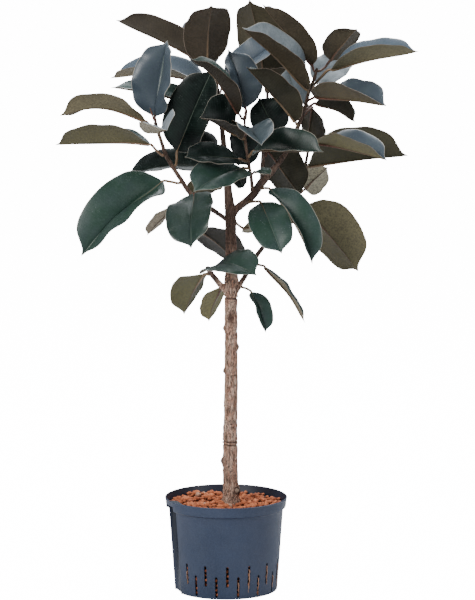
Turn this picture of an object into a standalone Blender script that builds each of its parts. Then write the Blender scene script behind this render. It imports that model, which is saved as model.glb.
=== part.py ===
# Potted rubber plant trained as a small standard tree: a slotted plastic culture pot, a bed of
# expanded-clay pebbles, one woody trunk with its branches, and the leaves, each a separate piece.
# Metres, +Z up. The origin is the centre of the pot's underside; the gauge groove of the pot is on
# its left (-X) side and the plant's fuller, nearer leaves face -Y.
import math

import bmesh
import bpy
import numpy as np
from mathutils import Matrix, Vector
from mathutils.geometry import delaunay_2d_cdt

for old in list(bpy.data.objects):
    bpy.data.objects.remove(old, do_unlink=True)

CM = 0.01                    # the tables below are written in centimetres
GAP = 0.0003                 # air left between two pieces that touch

# ---------------------------------------------------------------- driving sizes
POT_RIM_D = 0.250            # outside of the rim
POT_BASE_D = 0.210           # outside of the foot
POT_H = 0.193
POT_WALL = 0.0022
POT_FLOOR = 0.003
COLLAR_H = 0.021             # band under the rim
COLLAR_STEP = 0.006          # how far the collar stands out from the wall below it
GROOVE_W = 0.052             # flute in the pot's side for the water gauge
GROOVE_DEPTH = 0.024
GROOVE_CORNER = 0.010
GROOVE_BELOW_RIM = 0.011     # the rim passes over the flute, whose top is this far down
GROOVE_ANGLE = 73.5          # degrees from the front toward the left
SLOT_W = 0.0045
SLOT_COUNT = 15              # slots in each of the two staggered rows
SLOT_TURN = 1.5              # degrees from the front toward the right, to an upper slot
CLAY_BELOW_RIM = 0.014
PEBBLE = 0.013               # spacing of the pebbles
PLANT_SCALE = 1.0            # the plant above the clay, about the foot of its trunk
CROWN_SPREAD = 1.0           # left-right reach of the branches and leaves
CROWN_DEPTH = 1.6            # front-back reach, as a multiple of the tables
TRUNK_SCALE = 1.0            # thickness of the trunk and branches
LEAF_WIDTH = 1.0             # width of every leaf blade
LEAF_THICK = 0.0012
PETIOLE_R = 0.0017
SHARP_ANGLE = 40             # edges bent by more degrees than this stay crisp

CLAY_TOP = POT_H - CLAY_BELOW_RIM
FOOT = Vector((0.009, -0.006, CLAY_TOP))     # where the trunk leaves the clay
PLANT_FOOT_CM = 17.9                         # height of that point in the tables


def clear_name(obj, name, mat):
    """Name an object and give it its one material."""
    obj.name = name
    obj.data.name = name
    obj.data.materials.clear()
    obj.data.materials.append(mat)
    return obj


def material(name, color, rough, metallic=0.0):
    mat = bpy.data.materials.new(name)
    mat.use_nodes = True
    shader = mat.node_tree.nodes["Principled BSDF"]
    shader.inputs["Base Color"].default_value = (*color, 1.0)
    shader.inputs["Roughness"].default_value = rough
    shader.inputs["Metallic"].default_value = metallic
    return mat


def add_mesh(name, verts, faces):
    mesh = bpy.data.meshes.new(name)
    mesh.from_pydata([tuple(v) for v in verts], [], faces)
    mesh.update()
    obj = bpy.data.objects.new(name, mesh)
    bpy.context.scene.collection.objects.link(obj)
    work = bmesh.new()
    work.from_mesh(mesh)
    bmesh.ops.remove_doubles(work, verts=work.verts, dist=1e-6)
    bmesh.ops.recalc_face_normals(work, faces=work.faces)
    work.to_mesh(mesh)
    work.free()
    return obj


def boolean(obj, other, how):
    """Apply one exact Boolean and remove the other solid."""
    mod = obj.modifiers.new(how, "BOOLEAN")
    mod.operation = how
    mod.solver = "EXACT"
    mod.object = other
    depsgraph = bpy.context.evaluated_depsgraph_get()
    result = bpy.data.meshes.new_from_object(obj.evaluated_get(depsgraph))
    obj.modifiers.clear()
    obj.data = result
    bpy.data.objects.remove(other, do_unlink=True)
    return obj


def lathe(name, profile, segments, turn=0.0):
    """Closed solid of revolution; the profile runs from the axis at the bottom to the axis on top."""
    verts = []
    faces = []
    for radius, height in profile[1:-1]:
        for j in range(segments):
            a = 2 * math.pi * j / segments + turn
            verts.append((radius * math.cos(a), radius * math.sin(a), height))
    rows = len(profile) - 2
    for i in range(rows - 1):
        for j in range(segments):
            k = (j + 1) % segments
            faces.append((i * segments + j, i * segments + k, (i + 1) * segments + k, (i + 1) * segments + j))
    low = len(verts)
    verts.append((0, 0, profile[0][1]))
    verts.append((0, 0, profile[-1][1]))
    for j in range(segments):
        k = (j + 1) % segments
        faces.append((low, k, j))
        faces.append((low + 1, (rows - 1) * segments + j, (rows - 1) * segments + k))
    return add_mesh(name, verts, faces)


def prism(name, outline, bottom, top):
    """Upright prism over a list of (x, y) points."""
    count = len(outline)
    verts = [(x, y, bottom) for x, y in outline] + [(x, y, top) for x, y in outline]
    faces = [tuple(range(count - 1, -1, -1)), tuple(range(count, 2 * count))]
    for j in range(count):
        k = (j + 1) % count
        faces.append((j, k, count + k, count + j))
    return add_mesh(name, verts, faces)


# ---------------------------------------------------------------- pot: one moulding
POT_SEGMENTS = 72
RIM_R = POT_RIM_D / 2
BASE_R = POT_BASE_D / 2
COLLAR_Z = POT_H - COLLAR_H
WALL_TOP_R = RIM_R - 0.002 - COLLAR_STEP     # wall just under the collar
STEP_H = 0.002                               # height of the soft step into the collar
COLLAR_TAPER = 0.0025                        # the collar's lower edge is this much inside the rim
LOW_Z = 0.06                                 # heights of the two rings that carry the plain wall
HIGH_Z = 0.12


def wall_radius(z):
    """Outside radius of the plain wall below the collar."""
    return BASE_R + (WALL_TOP_R - BASE_R) * z / COLLAR_Z


outer_profile = [
    (0, 0),
    (BASE_R - 0.002, 0),
    (BASE_R, 0.002),
    (wall_radius(LOW_Z), LOW_Z),
    (wall_radius(HIGH_Z), HIGH_Z),
    (WALL_TOP_R, COLLAR_Z - STEP_H),
    (RIM_R - COLLAR_TAPER, COLLAR_Z),
    (RIM_R - 0.0007, POT_H - 0.0025),
    (RIM_R, POT_H - 0.0015),
    (RIM_R - 0.0004, POT_H),
    (0, POT_H),
]
INSIDE_STEP_Z = COLLAR_Z + 0.002
inner_profile = [
    (0, POT_FLOOR),
    (BASE_R - POT_WALL, POT_FLOOR),
    (wall_radius(LOW_Z) - POT_WALL, LOW_Z),
    (wall_radius(HIGH_Z) - POT_WALL, HIGH_Z),
    (WALL_TOP_R - POT_WALL, INSIDE_STEP_Z - STEP_H),
    (RIM_R - COLLAR_TAPER - POT_WALL, INSIDE_STEP_Z + 0.001),
    (RIM_R - 0.0007 - POT_WALL, POT_H + 0.001),
    (0, POT_H + 0.001),
]


def groove_outline(grow):
    """Plan of the flute: straight sides and a rounded inner end, as (along, across) points."""
    half = GROOVE_W / 2 + grow
    inner = RIM_R - 0.002 - GROOVE_DEPTH - grow
    corner = GROOVE_CORNER + grow
    points = [(RIM_R + 0.01, -half), (RIM_R + 0.01, half)]
    for step in range(5):
        a = math.pi / 2 + step * math.pi / 8
        points.append((inner + corner + corner * math.cos(a), half - corner + corner * math.sin(a)))
    for step in range(5):
        a = math.pi + step * math.pi / 8
        points.append((inner + corner + corner * math.cos(a), -half + corner + corner * math.sin(a)))
    turn = math.radians(-90 - GROOVE_ANGLE)
    c = math.cos(turn)
    s = math.sin(turn)
    return [(x * c - y * s, x * s + y * c) for x, y in points]


GROOVE_TOP = POT_H - GROOVE_BELOW_RIM


def groove_cutter(grow, top):
    return prism("groove_cutter", groove_outline(grow), -0.01, top)


cavity = lathe("cavity", inner_profile, POT_SEGMENTS)
cavity = boolean(cavity, groove_cutter(POT_WALL, GROOVE_TOP + POT_WALL), "DIFFERENCE")
pot = lathe("pot", outer_profile, POT_SEGMENTS)
pot = boolean(pot, groove_cutter(0.0, GROOVE_TOP), "DIFFERENCE")
pot = boolean(pot, cavity, "DIFFERENCE")


def slot_cutter(angle, low, high):
    """Narrow box through the wall at an angle from the front, positive toward the right."""
    inside = BASE_R - 0.012
    outside = RIM_R + 0.005
    a = math.radians(-90 + angle)
    c = math.cos(a)
    s = math.sin(a)
    half = SLOT_W / 2
    outline = [(inside, -half), (outside, -half), (outside, half), (inside, half)]
    return prism("slot", [(x * c - y * s, x * s + y * c) for x, y in outline], low, high)


PITCH = 360 / SLOT_COUNT
SLOT_H = 0.044
UPPER_SLOT_Z = 0.026
LOWER_SLOT_Z = POT_FLOOR + 0.001
GROOVE_CLEAR = 20                            # degrees either side of the flute left without slots
slots = []
for k in range(SLOT_COUNT):
    slots.append((SLOT_TURN + k * PITCH, UPPER_SLOT_Z))
    slots.append((SLOT_TURN + (k + 0.5) * PITCH, LOWER_SLOT_Z))
for angle, low in slots:
    from_groove = (angle + GROOVE_ANGLE + 180) % 360 - 180
    if abs(from_groove) > GROOVE_CLEAR:
        pot = boolean(pot, slot_cutter(angle, low, low + SLOT_H), "DIFFERENCE")


# ---------------------------------------------------------------- tubes for trunk, branches, petioles
def smooth_path(points, steps):
    """Points of a Catmull-Rom curve through rows of numbers."""
    rows = [np.array(p, dtype=float) for p in points]
    rows = [2 * rows[0] - rows[1]] + rows + [2 * rows[-1] - rows[-2]]
    out = []
    for i in range(1, len(rows) - 2):
        p0, p1, p2, p3 = rows[i - 1:i + 3]
        for step in range(steps):
            t = step / steps
            out.append(0.5 * (2 * p1 + (p2 - p0) * t + (2 * p0 - 5 * p1 + 4 * p2 - p3) * t * t
                              + (3 * p1 - p0 - 3 * p2 + p3) * t * t * t))
    out.append(rows[-2])
    return out


def place(point):
    """Table point in centimetres to a place in the object."""
    x, y, z = point[:3]
    scale = PLANT_SCALE * CM
    return Vector((FOOT.x + (x - 0.9) * scale * CROWN_SPREAD, FOOT.y + (y + 0.6) * scale * CROWN_DEPTH,
                   FOOT.z + (z - PLANT_FOOT_CM) * scale))


def tube(name, path, radii, sides, squash=None):
    """Closed tube of rings along a path, its two ends closed by shallow points."""
    verts = []
    faces = []
    count = len(path)
    normal = Vector((1, 0, 0))
    for i, centre in enumerate(path):
        tangent = (path[min(i + 1, count - 1)] - path[max(i - 1, 0)]).normalized()
        normal = (normal - tangent * normal.dot(tangent)).normalized()
        other = tangent.cross(normal)
        for j in range(sides):
            a = 2 * math.pi * j / sides
            wave = 1.0 if squash is None else squash(i, a)
            verts.append(centre + (normal * math.cos(a) + other * math.sin(a)) * radii[i] * wave)
    for i in range(count - 1):
        for j in range(sides):
            k = (j + 1) % sides
            faces.append((i * sides + j, i * sides + k, (i + 1) * sides + k, (i + 1) * sides + j))
    first = len(verts)
    verts.append(path[0] + (path[0] - path[1]).normalized() * radii[0] * 0.3)
    verts.append(path[-1] + (path[-1] - path[-2]).normalized() * radii[-1] * 0.5)
    for j in range(sides):
        k = (j + 1) % sides
        faces.append((first, k, j))
        faces.append((first + 1, (count - 1) * sides + j, (count - 1) * sides + k))
    return add_mesh(name, verts, faces)


# Centre lines in centimetres with the radius there: x, y, z, radius.
BRANCHES = {
    "trunk": [(0.9, -0.6, 11, 1.2), (0.9, -0.6, 15, 1.7), (0.9, -0.6, 17.9, 1.75), (0.9, -0.6, 20, 1.55),
              (0.9, -0.6, 30, 1.38), (1.0, -0.6, 45, 1.26), (1.0, -0.6, 60, 1.25), (1.1, -0.6, 63, 1.45),
              (1.1, -0.5, 66, 1.2), (1, -0.4, 72, 1.12), (0.9, -0.3, 77, 1.15), (0.4, -0.2, 82.2, 0.85),
              (0, 0, 87.3, 0.7), (-0.6, 0.2, 92.8, 0.55), (-1, 0.6, 96.9, 0.45),
              (-1.6, 1.2, 101.4, 0.36), (-2.2, 1.6, 105.1, 0.28)],
    "right": [(0.9, -0.3, 76.4, 0.8), (2.2, -0.4, 78.5, 0.8), (5.2, -0.6, 81, 0.75),
              (7.3, -0.4, 83.9, 0.8), (9.9, 0, 86.8, 0.58), (12, 0.3, 89.6, 0.48),
              (13.5, 0.4, 92.7, 0.42), (14.6, 0.4, 95.2, 0.38), (16, 0.5, 99.1, 0.34),
              (16.7, 0.5, 101.9, 0.31), (17.8, 0.6, 104.7, 0.27), (18.3, 0.6, 106.7, 0.2)],
    "left": [(0.6, -0.6, 75.9, 0.5), (-1, -0.9, 77.2, 0.48), (-3.4, -1.3, 78.9, 0.45),
             (-6.9, -1.6, 81.5, 0.42), (-9.1, -1.6, 84.7, 0.4), (-11.8, -1.4, 89, 0.36),
             (-13.3, -1.2, 93.2, 0.3), (-14.3, -1.1, 96, 0.24)],
    "middle": [(5.4, -0.6, 81.4, 0.34), (5.1, -0.9, 84.6, 0.3), (4.6, -1.3, 87.6, 0.28),
               (4, -1.5, 91.6, 0.26), (3.8, -1.6, 95.1, 0.24), (3.7, -1.6, 97.5, 0.2)],
    "back": [(7.2, -0.2, 83.6, 0.42), (7.4, 2.6, 86.8, 0.38), (7.8, 5.2, 91.7, 0.34),
             (8.3, 7.5, 96.6, 0.3), (8.5, 9, 101, 0.24)],
    "low_right": [(1.5, -0.2, 60.9, 0.55), (2.6, 0.5, 62.5, 0.5), (4.1, 1.2, 64.8, 0.46),
                  (6.1, 2.2, 68.2, 0.42), (7.9, 2.8, 70.5, 0.38), (11.5, 3.6, 75.7, 0.34),
                  (14.6, 4, 80.7, 0.3), (16, 4, 85.7, 0.27), (17, 4, 91.5, 0.2)],
    "low_left": [(0.2, -0.5, 61.6, 0.55), (-1.4, -0.9, 63.4, 0.52), (-2.8, -1.2, 65.2, 0.48),
                 (-3.8, -1.3, 66.7, 0.46)],
}
BURIED = PLANT_FOOT_CM                       # trunk points below this keep their depth when scaled


def branch_path(name):
    rows = smooth_path(BRANCHES[name], 3)
    path = [place(row) for row in rows]
    if name == "trunk":
        for i, row in enumerate(rows):
            if row[2] < BURIED:
                path[i] = Vector((FOOT.x, FOOT.y, CLAY_TOP + (row[2] - BURIED) * CM))
    radii = [row[3] * CM * TRUNK_SCALE for row in rows]
    return path, radii


PATHS = {name: branch_path(name) for name in BRANCHES}
BARK_TOP = place((0, 0, 58)).z               # above this the trunk is smooth and carries leaves


def bark(i, a):
    """Share of the radius at one point of the trunk: slightly uneven on its bare lower length."""
    if PATHS["trunk"][0][i].z > BARK_TOP:
        return 1.0
    return 1.0 + 0.045 * math.sin(3 * a + 0.9 * i) + 0.03 * math.sin(5 * a - 1.7 * i)


wood = tube("trunk_and_branches", *PATHS["trunk"], 14, bark)
BRANCH_SIDES = {"right": 12, "left": 10, "middle": 10, "back": 8, "low_right": 10, "low_left": 10}
for name, sides in BRANCH_SIDES.items():
    wood = boolean(wood, tube(name, *PATHS[name], sides), "UNION")


# ---------------------------------------------------------------- clay pebbles: one bed
def inner_radius(z):
    """Inside radius of the pot at a height."""
    rows = inner_profile[1:-1]
    for (r0, z0), (r1, z1) in zip(rows, rows[1:]):
        if z <= z1:
            return r0 + (r1 - r0) * (z - z0) / (z1 - z0)
    return rows[-1][0]


def clay_bed():
    side = 60
    low = POT_FLOOR + GAP
    ring_z = [low, LOW_Z, HIGH_Z, INSIDE_STEP_Z - STEP_H, CLAY_TOP - 0.004]
    verts = []
    faces = []
    for z in ring_z:
        radius = inner_radius(z) / math.cos(math.pi / POT_SEGMENTS) * math.cos(math.pi / side) - 2 * GAP
        for j in range(side):
            a = 2 * math.pi * j / side
            verts.append((radius * math.cos(a), radius * math.sin(a), z))
    for i in range(len(ring_z) - 1):
        for j in range(side):
            k = (j + 1) % side
            faces.append((i * side + j, i * side + k, (i + 1) * side + k, (i + 1) * side + j))
    faces.append(tuple(range(side - 1, -1, -1)))
    top = (len(ring_z) - 1) * side
    edge = radius
    points = [Vector(verts[top + j][:2]) for j in range(side)]
    heights = [verts[top + j][2] for j in range(side)]
    # A pebble's crown on every point of a triangular lattice and a hollow between each three.
    rng = np.random.default_rng(7)
    rows = int(edge / PEBBLE) + 2
    for row in range(-rows, rows + 1):
        for col in range(-2 * rows, 2 * rows + 1):
            x = (col + 0.5 * (row % 2)) * PEBBLE
            y = row * PEBBLE * 0.866
            for dx, dy, height in ((0, 0, 0.003), (0.5, 0.289, -0.003), (0, 0.577, -0.003)):
                px = x + dx * PEBBLE + rng.uniform(-0.0015, 0.0015)
                py = y + dy * PEBBLE + rng.uniform(-0.0015, 0.0015)
                h = height + rng.uniform(-0.0012, 0.0020)
                if math.hypot(px, py) < edge - 0.004:
                    points.append(Vector((px, py)))
                    heights.append(CLAY_TOP + h)
    flat = delaunay_2d_cdt(points, [], [], 0, 1e-7)
    start = len(verts)
    for point in flat[0]:
        nearest = min(range(len(points)), key=lambda q: (points[q] - point).length_squared)
        verts.append((point.x, point.y, heights[nearest]))
    for tri in flat[2]:
        faces.append(tuple(start + v for v in tri))
    return add_mesh("clay_pebbles", verts, faces)


clay = clay_bed()
clay = boolean(clay, groove_cutter(POT_WALL + GAP, POT_H + 0.01), "DIFFERENCE")
trunk_path, trunk_radii = PATHS["trunk"]
buried = [i for i, p in enumerate(trunk_path) if p.z < CLAY_TOP + 0.03]
hole_path = [trunk_path[i].copy() for i in buried]
hole_path[0].z -= 2 * GAP
hole = tube("trunk_hole", hole_path, [trunk_radii[i] + 2.5 * GAP for i in buried], 14, bark)
clay = boolean(clay, hole, "DIFFERENCE")


# ---------------------------------------------------------------- leaves
def on_branch(name, height_cm):
    """Centre, axis and radius of a branch at a table height."""
    path, radii = PATHS[name]
    z = place((0, 0, height_cm)).z
    best = min(range(len(path) - 1), key=lambda i: abs((path[i].z + path[i + 1].z) / 2 - z))
    a = path[best]
    b = path[best + 1]
    t = min(max((z - a.z) / (b.z - a.z), 0.0), 1.0)
    return a.lerp(b, t), (b - a).normalized(), radii[best] + (radii[best + 1] - radii[best]) * t


# Half width of a blade from its round base to its drip tip, as (distance along, share of half width).
BLADE = [(0.0, 0.10), (0.05, 0.48), (0.15, 0.80), (0.31, 0.98), (0.50, 1.0), (0.69, 0.90), (0.85, 0.64),
         (0.95, 0.22)]


def leaf(name, branch, height, base, tip, width, face, bow, fold, twist=0.0, late=1.1):
    """One leaf: a petiole from the branch, then a blade folded along its midrib.

    base and tip are the ends of the blade; face is the way its upper side looks; bow is how far the
    midrib arches toward that side; fold lifts each half; twist turns the blade toward its tip.
    """
    base = place(base)
    tip = place(tip)
    line = tip - base
    length = line.length
    along = line / length
    face = Vector(face)
    face = (face - along * face.dot(along)).normalized()
    half = width * CM * PLANT_SCALE * LEAF_WIDTH / 2
    bow = bow * CM * PLANT_SCALE

    def midrib(t):
        return base + line * t + face * bow * math.sin(math.pi * t ** late)

    rings = []
    centre, axis, radius = on_branch(branch, height)
    away = base - centre
    out = (away - axis * away.dot(axis)).normalized()
    root = centre + out * (radius + GAP)
    first = (midrib(0.03) - base).normalized()
    reach = (base - root).length
    handle = 0.35 * reach
    for t, thick in ((0.0, 1.25), (0.5, 1.0)):
        u = 1 - t
        p = (root * u ** 3 + (root + out * handle) * 3 * u * u * t
             + (base - first * handle) * 3 * u * t * t + base * t ** 3)
        forward = out if t == 0 else (base - root).normalized()
        up = (face - forward * face.dot(forward)).normalized()
        side = forward.cross(up)
        r = PETIOLE_R * thick
        rings.append([p + (side * math.cos(a) + up * math.sin(a)) * r
                      for a in (math.pi * (1 - k / 4) for k in range(8))])
    for t, share in BLADE:
        centre_point = midrib(t)
        forward = (midrib(min(t + 0.02, 1)) - midrib(max(t - 0.02, 0))).normalized()
        up = (face - forward * face.dot(forward)).normalized()
        up = Matrix.Rotation(math.radians(twist) * t * t, 3, forward) @ up
        side = forward.cross(up)
        w = max(half * share, PETIOLE_R)
        lift = math.radians(fold) * min(1.0, 0.35 + 2.6 * t) * (1.0 - 0.10 * t)
        c = math.cos(lift)
        s = math.sin(lift)
        thick = LEAF_THICK / 2
        rib = PETIOLE_R * (1.0 - 0.75 * t)
        # The halves bulge a little: the middle of each stands proud of the straight chord.
        bulge = 0.05 * w
        mid = 0.5 * w
        edge = (c * w, s * w)
        middle = (c * mid + s * bulge * -1, s * mid + c * bulge)
        rows = [(-edge[0], edge[1]), (-middle[0], middle[1] + thick), (0.0, thick),
                (middle[0], middle[1] + thick), (edge[0], edge[1]), (middle[0], middle[1] - thick),
                (0.0, -rib), (-middle[0], middle[1] - thick)]
        rings.append([centre_point + side * x + up * z for x, z in rows])
    verts = [root - out * 0.0001]
    faces = []
    for ring in rings:
        verts.extend(ring)
    count = len(rings)
    for j in range(8):
        k = (j + 1) % 8
        faces.append((0, 1 + k, 1 + j))
        for i in range(count - 1):
            a = 1 + i * 8
            faces.append((a + j, a + k, a + 8 + k, a + 8 + j))
        last = 1 + (count - 1) * 8
        faces.append((last + j, last + k, 1 + count * 8))
    verts.append(tip)
    obj = add_mesh(name, verts, faces)
    work = bmesh.new()
    work.from_mesh(obj.data)
    bmesh.ops.triangulate(work, faces=work.faces)
    work.to_mesh(obj.data)
    work.free()
    return obj


# name, branch, height on it, blade base, blade tip, width, face, bow, fold, twist
LEAVES = [
    # round the top of the trunk
    ("top_1", "trunk", 104.8, (-4.6, 3.0, 107.7), (-22.4, 4.6, 116.0), 9.4, (0.5, 0.30, 1.0), 0.2, 60, 0),
    ("top_2", "trunk", 104.2, (-3.8, 0.5, 107.6), (-2.8, -8.6, 120.1), 9.8, (-0.2, 0.8, 0.55), 0.8, 15, 0),
    ("top_3", "trunk", 103.6, (-3.6, 6.4, 106.1), (-7.0, 10.0, 116.4), 7.4, (0.0, -0.85, 0.5), 0.6, 15, 0),
    ("top_4", "trunk", 101.6, (-4.5, 7.5, 103.3), (-24.0, 12.0, 103.3), 9.4, (0.0, -0.3, 1.0), 1.1, 45, 0),
    ("top_5", "trunk", 97.5, (-6.0, 4.6, 98.9), (-23.6, 7.0, 102.0), 9.0, (0.0, -0.2, 1.0), 0.5, 25, 0),
    ("top_6", "trunk", 101.0, (0.2, 6.4, 103.5), (12.5, 7.6, 112.5), 8.4, (-0.47, -0.7, 0.65), 0.3, 32, 0),
    ("top_7", "trunk", 91.4, (-2.0, 2.2, 90.4), (-9.9, 6.0, 90.2), 6.5, (0.0, -0.55, 0.83), 0.8, 20, 0),
    ("top_8", "trunk", 87.0, (-4.5, 4.2, 86.3), (-21.1, 8.0, 82.8), 9.4, (0.0, -0.45, 0.9), 1.5, 25, 0),
    ("top_9", "trunk", 84.4, (-0.8, 2.2, 84.0), (-7.8, 3.0, 80.0), 6.5, (-0.3, 0.8, 0.5), 0.5, 15, 0),
    ("top_10", "trunk", 86.4, (1.2, 1.8, 86.4), (3.6, 2.8, 82.1), 3.6, (0.2, -0.8, 0.4), 0.3, 15, 0),
    ("top_11", "trunk", 94.4, (2.4, 2.2, 94.8), (4.6, 2.8, 86.4), 6.5, (0.3, -0.85, 0.3), 0.5, 15, 0),
    # left branch
    ("left_1", "left", 95.2, (-14.3, -0.2, 97.2), (-11.7, 0.5, 112.3), 11.0, (-0.57, -0.82, 0.1), 0.4, 36, 0),
    ("left_2", "left", 95.0, (-16.2, -1.4, 96.4), (-33.1, -3.0, 97.4), 8.4, (0.0, 0.1, 1.0), 2.2, 30, 55),
    ("left_3", "left", 89.6, (-15.4, -1.2, 91.7), (-34.7, 3.0, 90.8), 9.6, (0.0, 0.2, 1.0), 0.5, 45, 0),
    ("left_4", "left", 92.6, (-13.5, -2.4, 94.0), (-11.3, -14.0, 96.3), 9.4, (-0.34, -0.1, 0.94), 0.4, 44, 0),
    ("left_5", "left", 87.0, (-9.8, -0.5, 90.2), (-2.6, -1.5, 106.9), 10.8, (-0.32, -0.85, 0.2), 0.4, 26, 0),
    ("left_6", "left", 84.2, (-12.8, -2.0, 84.3), (-28.9, -5.0, 69.8), 13.0, (-0.44, -0.77, 0.46), 1.6, 42, 0),
    ("left_7", "left", 80.4, (-6.4, -3.2, 82.0), (-6.8, -11.0, 72.6), 10.4, (-0.35, -0.78, 0.5), 0.6, 18, 0),
    ("left_8", "left", 81.0, (-10.6, 1.6, 78.4), (-16.2, 4.6, 72.0), 4.2, (-0.5, 0.6, 0.5), 0.3, 15, 0),
    ("left_9", "left", 79.6, (-5.8, 1.0, 74.1), (2.5, 8.0, 65.4), 9.2, (0.2, 0.7, 0.7), 0.6, 15, 0),
    # middle branch
    ("middle_1", "middle", 97.0, (2.4, -4.8, 98.4), (-7.0, -8.2, 109.6), 7.6, (0.73, 0.0, 0.68), 1.2, 42, 0),
    ("middle_2", "middle", 96.6, (3.9, 1.0, 98.7), (0.4, 2.2, 110.3), 9.2, (0.59, -0.8, 0.15), 0.3, 36, 0),
    ("middle_3", "middle", 92.8, (2.0, -2.6, 93.8), (-5.2, -5.4, 97.6), 13.0, (0.05, -0.57, 0.82), 0.4, 45, 0),
    ("middle_4", "middle", 93.6, (4.1, -2.8, 95.0), (7.0, -13.0, 93.2), 9.4, (0.0, -0.1, 1.0), 0.3, 39, 0),
    ("middle_5", "middle", 89.2, (5.6, -2.2, 90.5), (19.4, -7.0, 91.0), 9.6, (0.0, -0.57, 0.82), 0.2, 40, 0),
    ("middle_6", "middle", 87.0, (3.2, -2.6, 87.1), (-6.3, -11.0, 83.8), 9.8, (0.0, -0.6, 0.8), 0.9, 15, 0),
    ("middle_7", "middle", 88.4, (2.6, -3.2, 89.0), (-8.1, -8.0, 90.1), 7.4, (0.0, -0.6, 0.8), 0.5, 15, 0),
    ("middle_8", "middle", 85.6, (5.8, -2.2, 86.3), (9.0, -5.0, 86.2), 3.0, (0.0, -0.5, 0.85), 0.3, 15, 0),
    # back branch
    ("back_1", "back", 101.0, (8.0, 11.4, 102.6), (4.7, 7.4, 119.9), 11.4, (0.43, 0.85, 0.2), 0.8, 15, 0),
    ("back_2", "back", 88.6, (8.2, 4.4, 89.8), (15.2, 1.9, 80.3), 11.2, (0.45, 0.8, 0.4), 0.3, 12, 0),
    ("back_3", "back", 92.4, (10.2, 3.8, 93.1), (6.6, 3.2, 100.4), 8.0, (-0.2, -0.75, 0.6), 0.6, 15, 0),
    # right branch
    ("right_1", "right", 106.0, (17.3, 0.9, 107.4), (7.2, -3.5, 119.9), 8.4, (0.70, 0.32, 0.63), 0.0, 44, 0),
    ("right_2", "right", 101.8, (16.3, -0.7, 102.6), (3.2, -5.0, 115.4), 11.2, (0.68, -0.24, 0.69), 0.3, 52, 0),
    ("right_3", "right", 95.2, (13.9, -0.9, 96.2), (4.0, -5.0, 107.6), 9.8, (0.69, 0.42, 0.58), 0.3, 40, 0),
    ("right_4", "right", 98.2, (14.7, 4.4, 99.3), (9.0, 4.0, 106.4), 6.8, (0.5, 0.6, 0.6), 0.3, 20, 0),
    ("right_5", "right", 97.6, (14.9, 2.0, 98.8), (12.3, 1.8, 106.8), 5.4, (-0.2, -0.9, 0.2), 0.2, 15, 0),
    ("right_6", "right", 106.2, (21.1, 1.6, 108.2), (26.3, -0.5, 114.7), 7.4, (-0.2, 0.7, 0.8), 0.5, 18, 0),
    ("right_7", "right", 103.6, (21.1, -2.2, 106.8), (38.3, -4.5, 110.6), 9.5, (-0.2, -0.12, 0.97), 0.3, 50, 0),
    ("right_8", "right", 102.6, (18.3, 2.8, 103.5), (24.9, 5.5, 108.5), 8.2, (-0.3, -0.75, 0.55), 0.3, 15, 0),
    ("right_9", "right", 100.4, (18.0, -0.8, 101.1), (31.6, -10.0, 100.5), 10.2, (0.0, 0.0, 1.0), 0.3, 50, 15),
    ("right_10", "right", 98.6, (18.2, 1.8, 99.5), (26.0, 0.8, 95.8), 9.0, (0.2, 0.2, 1.0), 0.5, 45, 0),
    ("right_11", "right", 97.2, (17.5, 3.0, 98.4), (16.3, 6.4, 90.2), 8.0, (0.8, 0.55, 0.2), 0.3, 15, 0),
    ("right_12", "right", 83.0, (8.9, -1.7, 82.7), (17.3, -4.0, 67.9), 9.2, (0.66, -0.66, 0.35), 1.4, 46, 0),
    ("right_13", "right", 80.4, (7.1, -2.6, 80.1), (11.1, -8.0, 70.9), 8.4, (0.0, -0.9, 0.42), 0.3, 10, 0),
    # lower right branch
    ("low_right_1", "low_right", 91.2, (18.7, 2.4, 91.3), (32.2, -4.0, 88.8), 9.2, (0.0, -0.1, 1.0), 0.4, 50, 0),
    ("low_right_2", "low_right", 85.6, (16.9, 4.6, 86.3), (37.1, 4.6, 88.4), 14.0, (-0.1, 0.5, 0.85), 0.3, 52, 0),
    ("low_right_3", "low_right", 81.0, (16.2, 7.9, 80.9), (20.9, 9.0, 85.3), 7.0, (-0.45, 0.8, 0.0), 0.3, 15, 0),
    ("low_right_4", "low_right", 78.2, (16.1, 5.2, 77.9), (27.0, 3.4, 64.9), 12.6, (0.31, 0.8, 0.25), 0.4, 26, 0),
    ("low_right_5", "low_right", 67.0, (8.0, 2.4, 66.0), (16.1, 1.2, 54.7), 7.4, (0.8, 0.0, 0.6), 0.6, 15, 0),
    ("low_right_6", "low_right", 62.6, (5.2, 0.2, 61.3), (8.0, -1.5, 53.4), 5.4, (0.6, -0.7, 0.3), 0.3, 40, 0),
    # lower left stub and the trunk beside it
    ("low_left_1", "low_left", 66.0, (-3.4, -2.9, 66.6), (6.1, -11.0, 67.2), 9.8, (0.0, -0.55, 0.83), 2.0, 12, 0),
    ("low_left_2", "low_left", 65.4, (-4.6, -0.6, 65.2), (-8.7, 6.5, 55.2), 9.0, (-0.45, 0.75, 0.5), 0.5, 33, 0),
    ("low_left_3", "trunk", 62.6, (-1.1, 1.7, 62.0), (-3.6, 6.0, 53.9), 5.6, (-0.5, 0.7, 0.5), 0.4, 20, 0),
    ("low_left_4", "trunk", 76.6, (3.5, 4.0, 73.7), (15.1, 9.8, 73.8), 7.0, (-0.1, 0.75, 0.66), 0.4, 15, 0),
]

leaf_green = material("leaf_blade", (0.045, 0.075, 0.065), 0.35)
for name, *row in LEAVES:
    clear_name(leaf("leaf_" + name, *row), "leaf_" + name, leaf_green)


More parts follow.
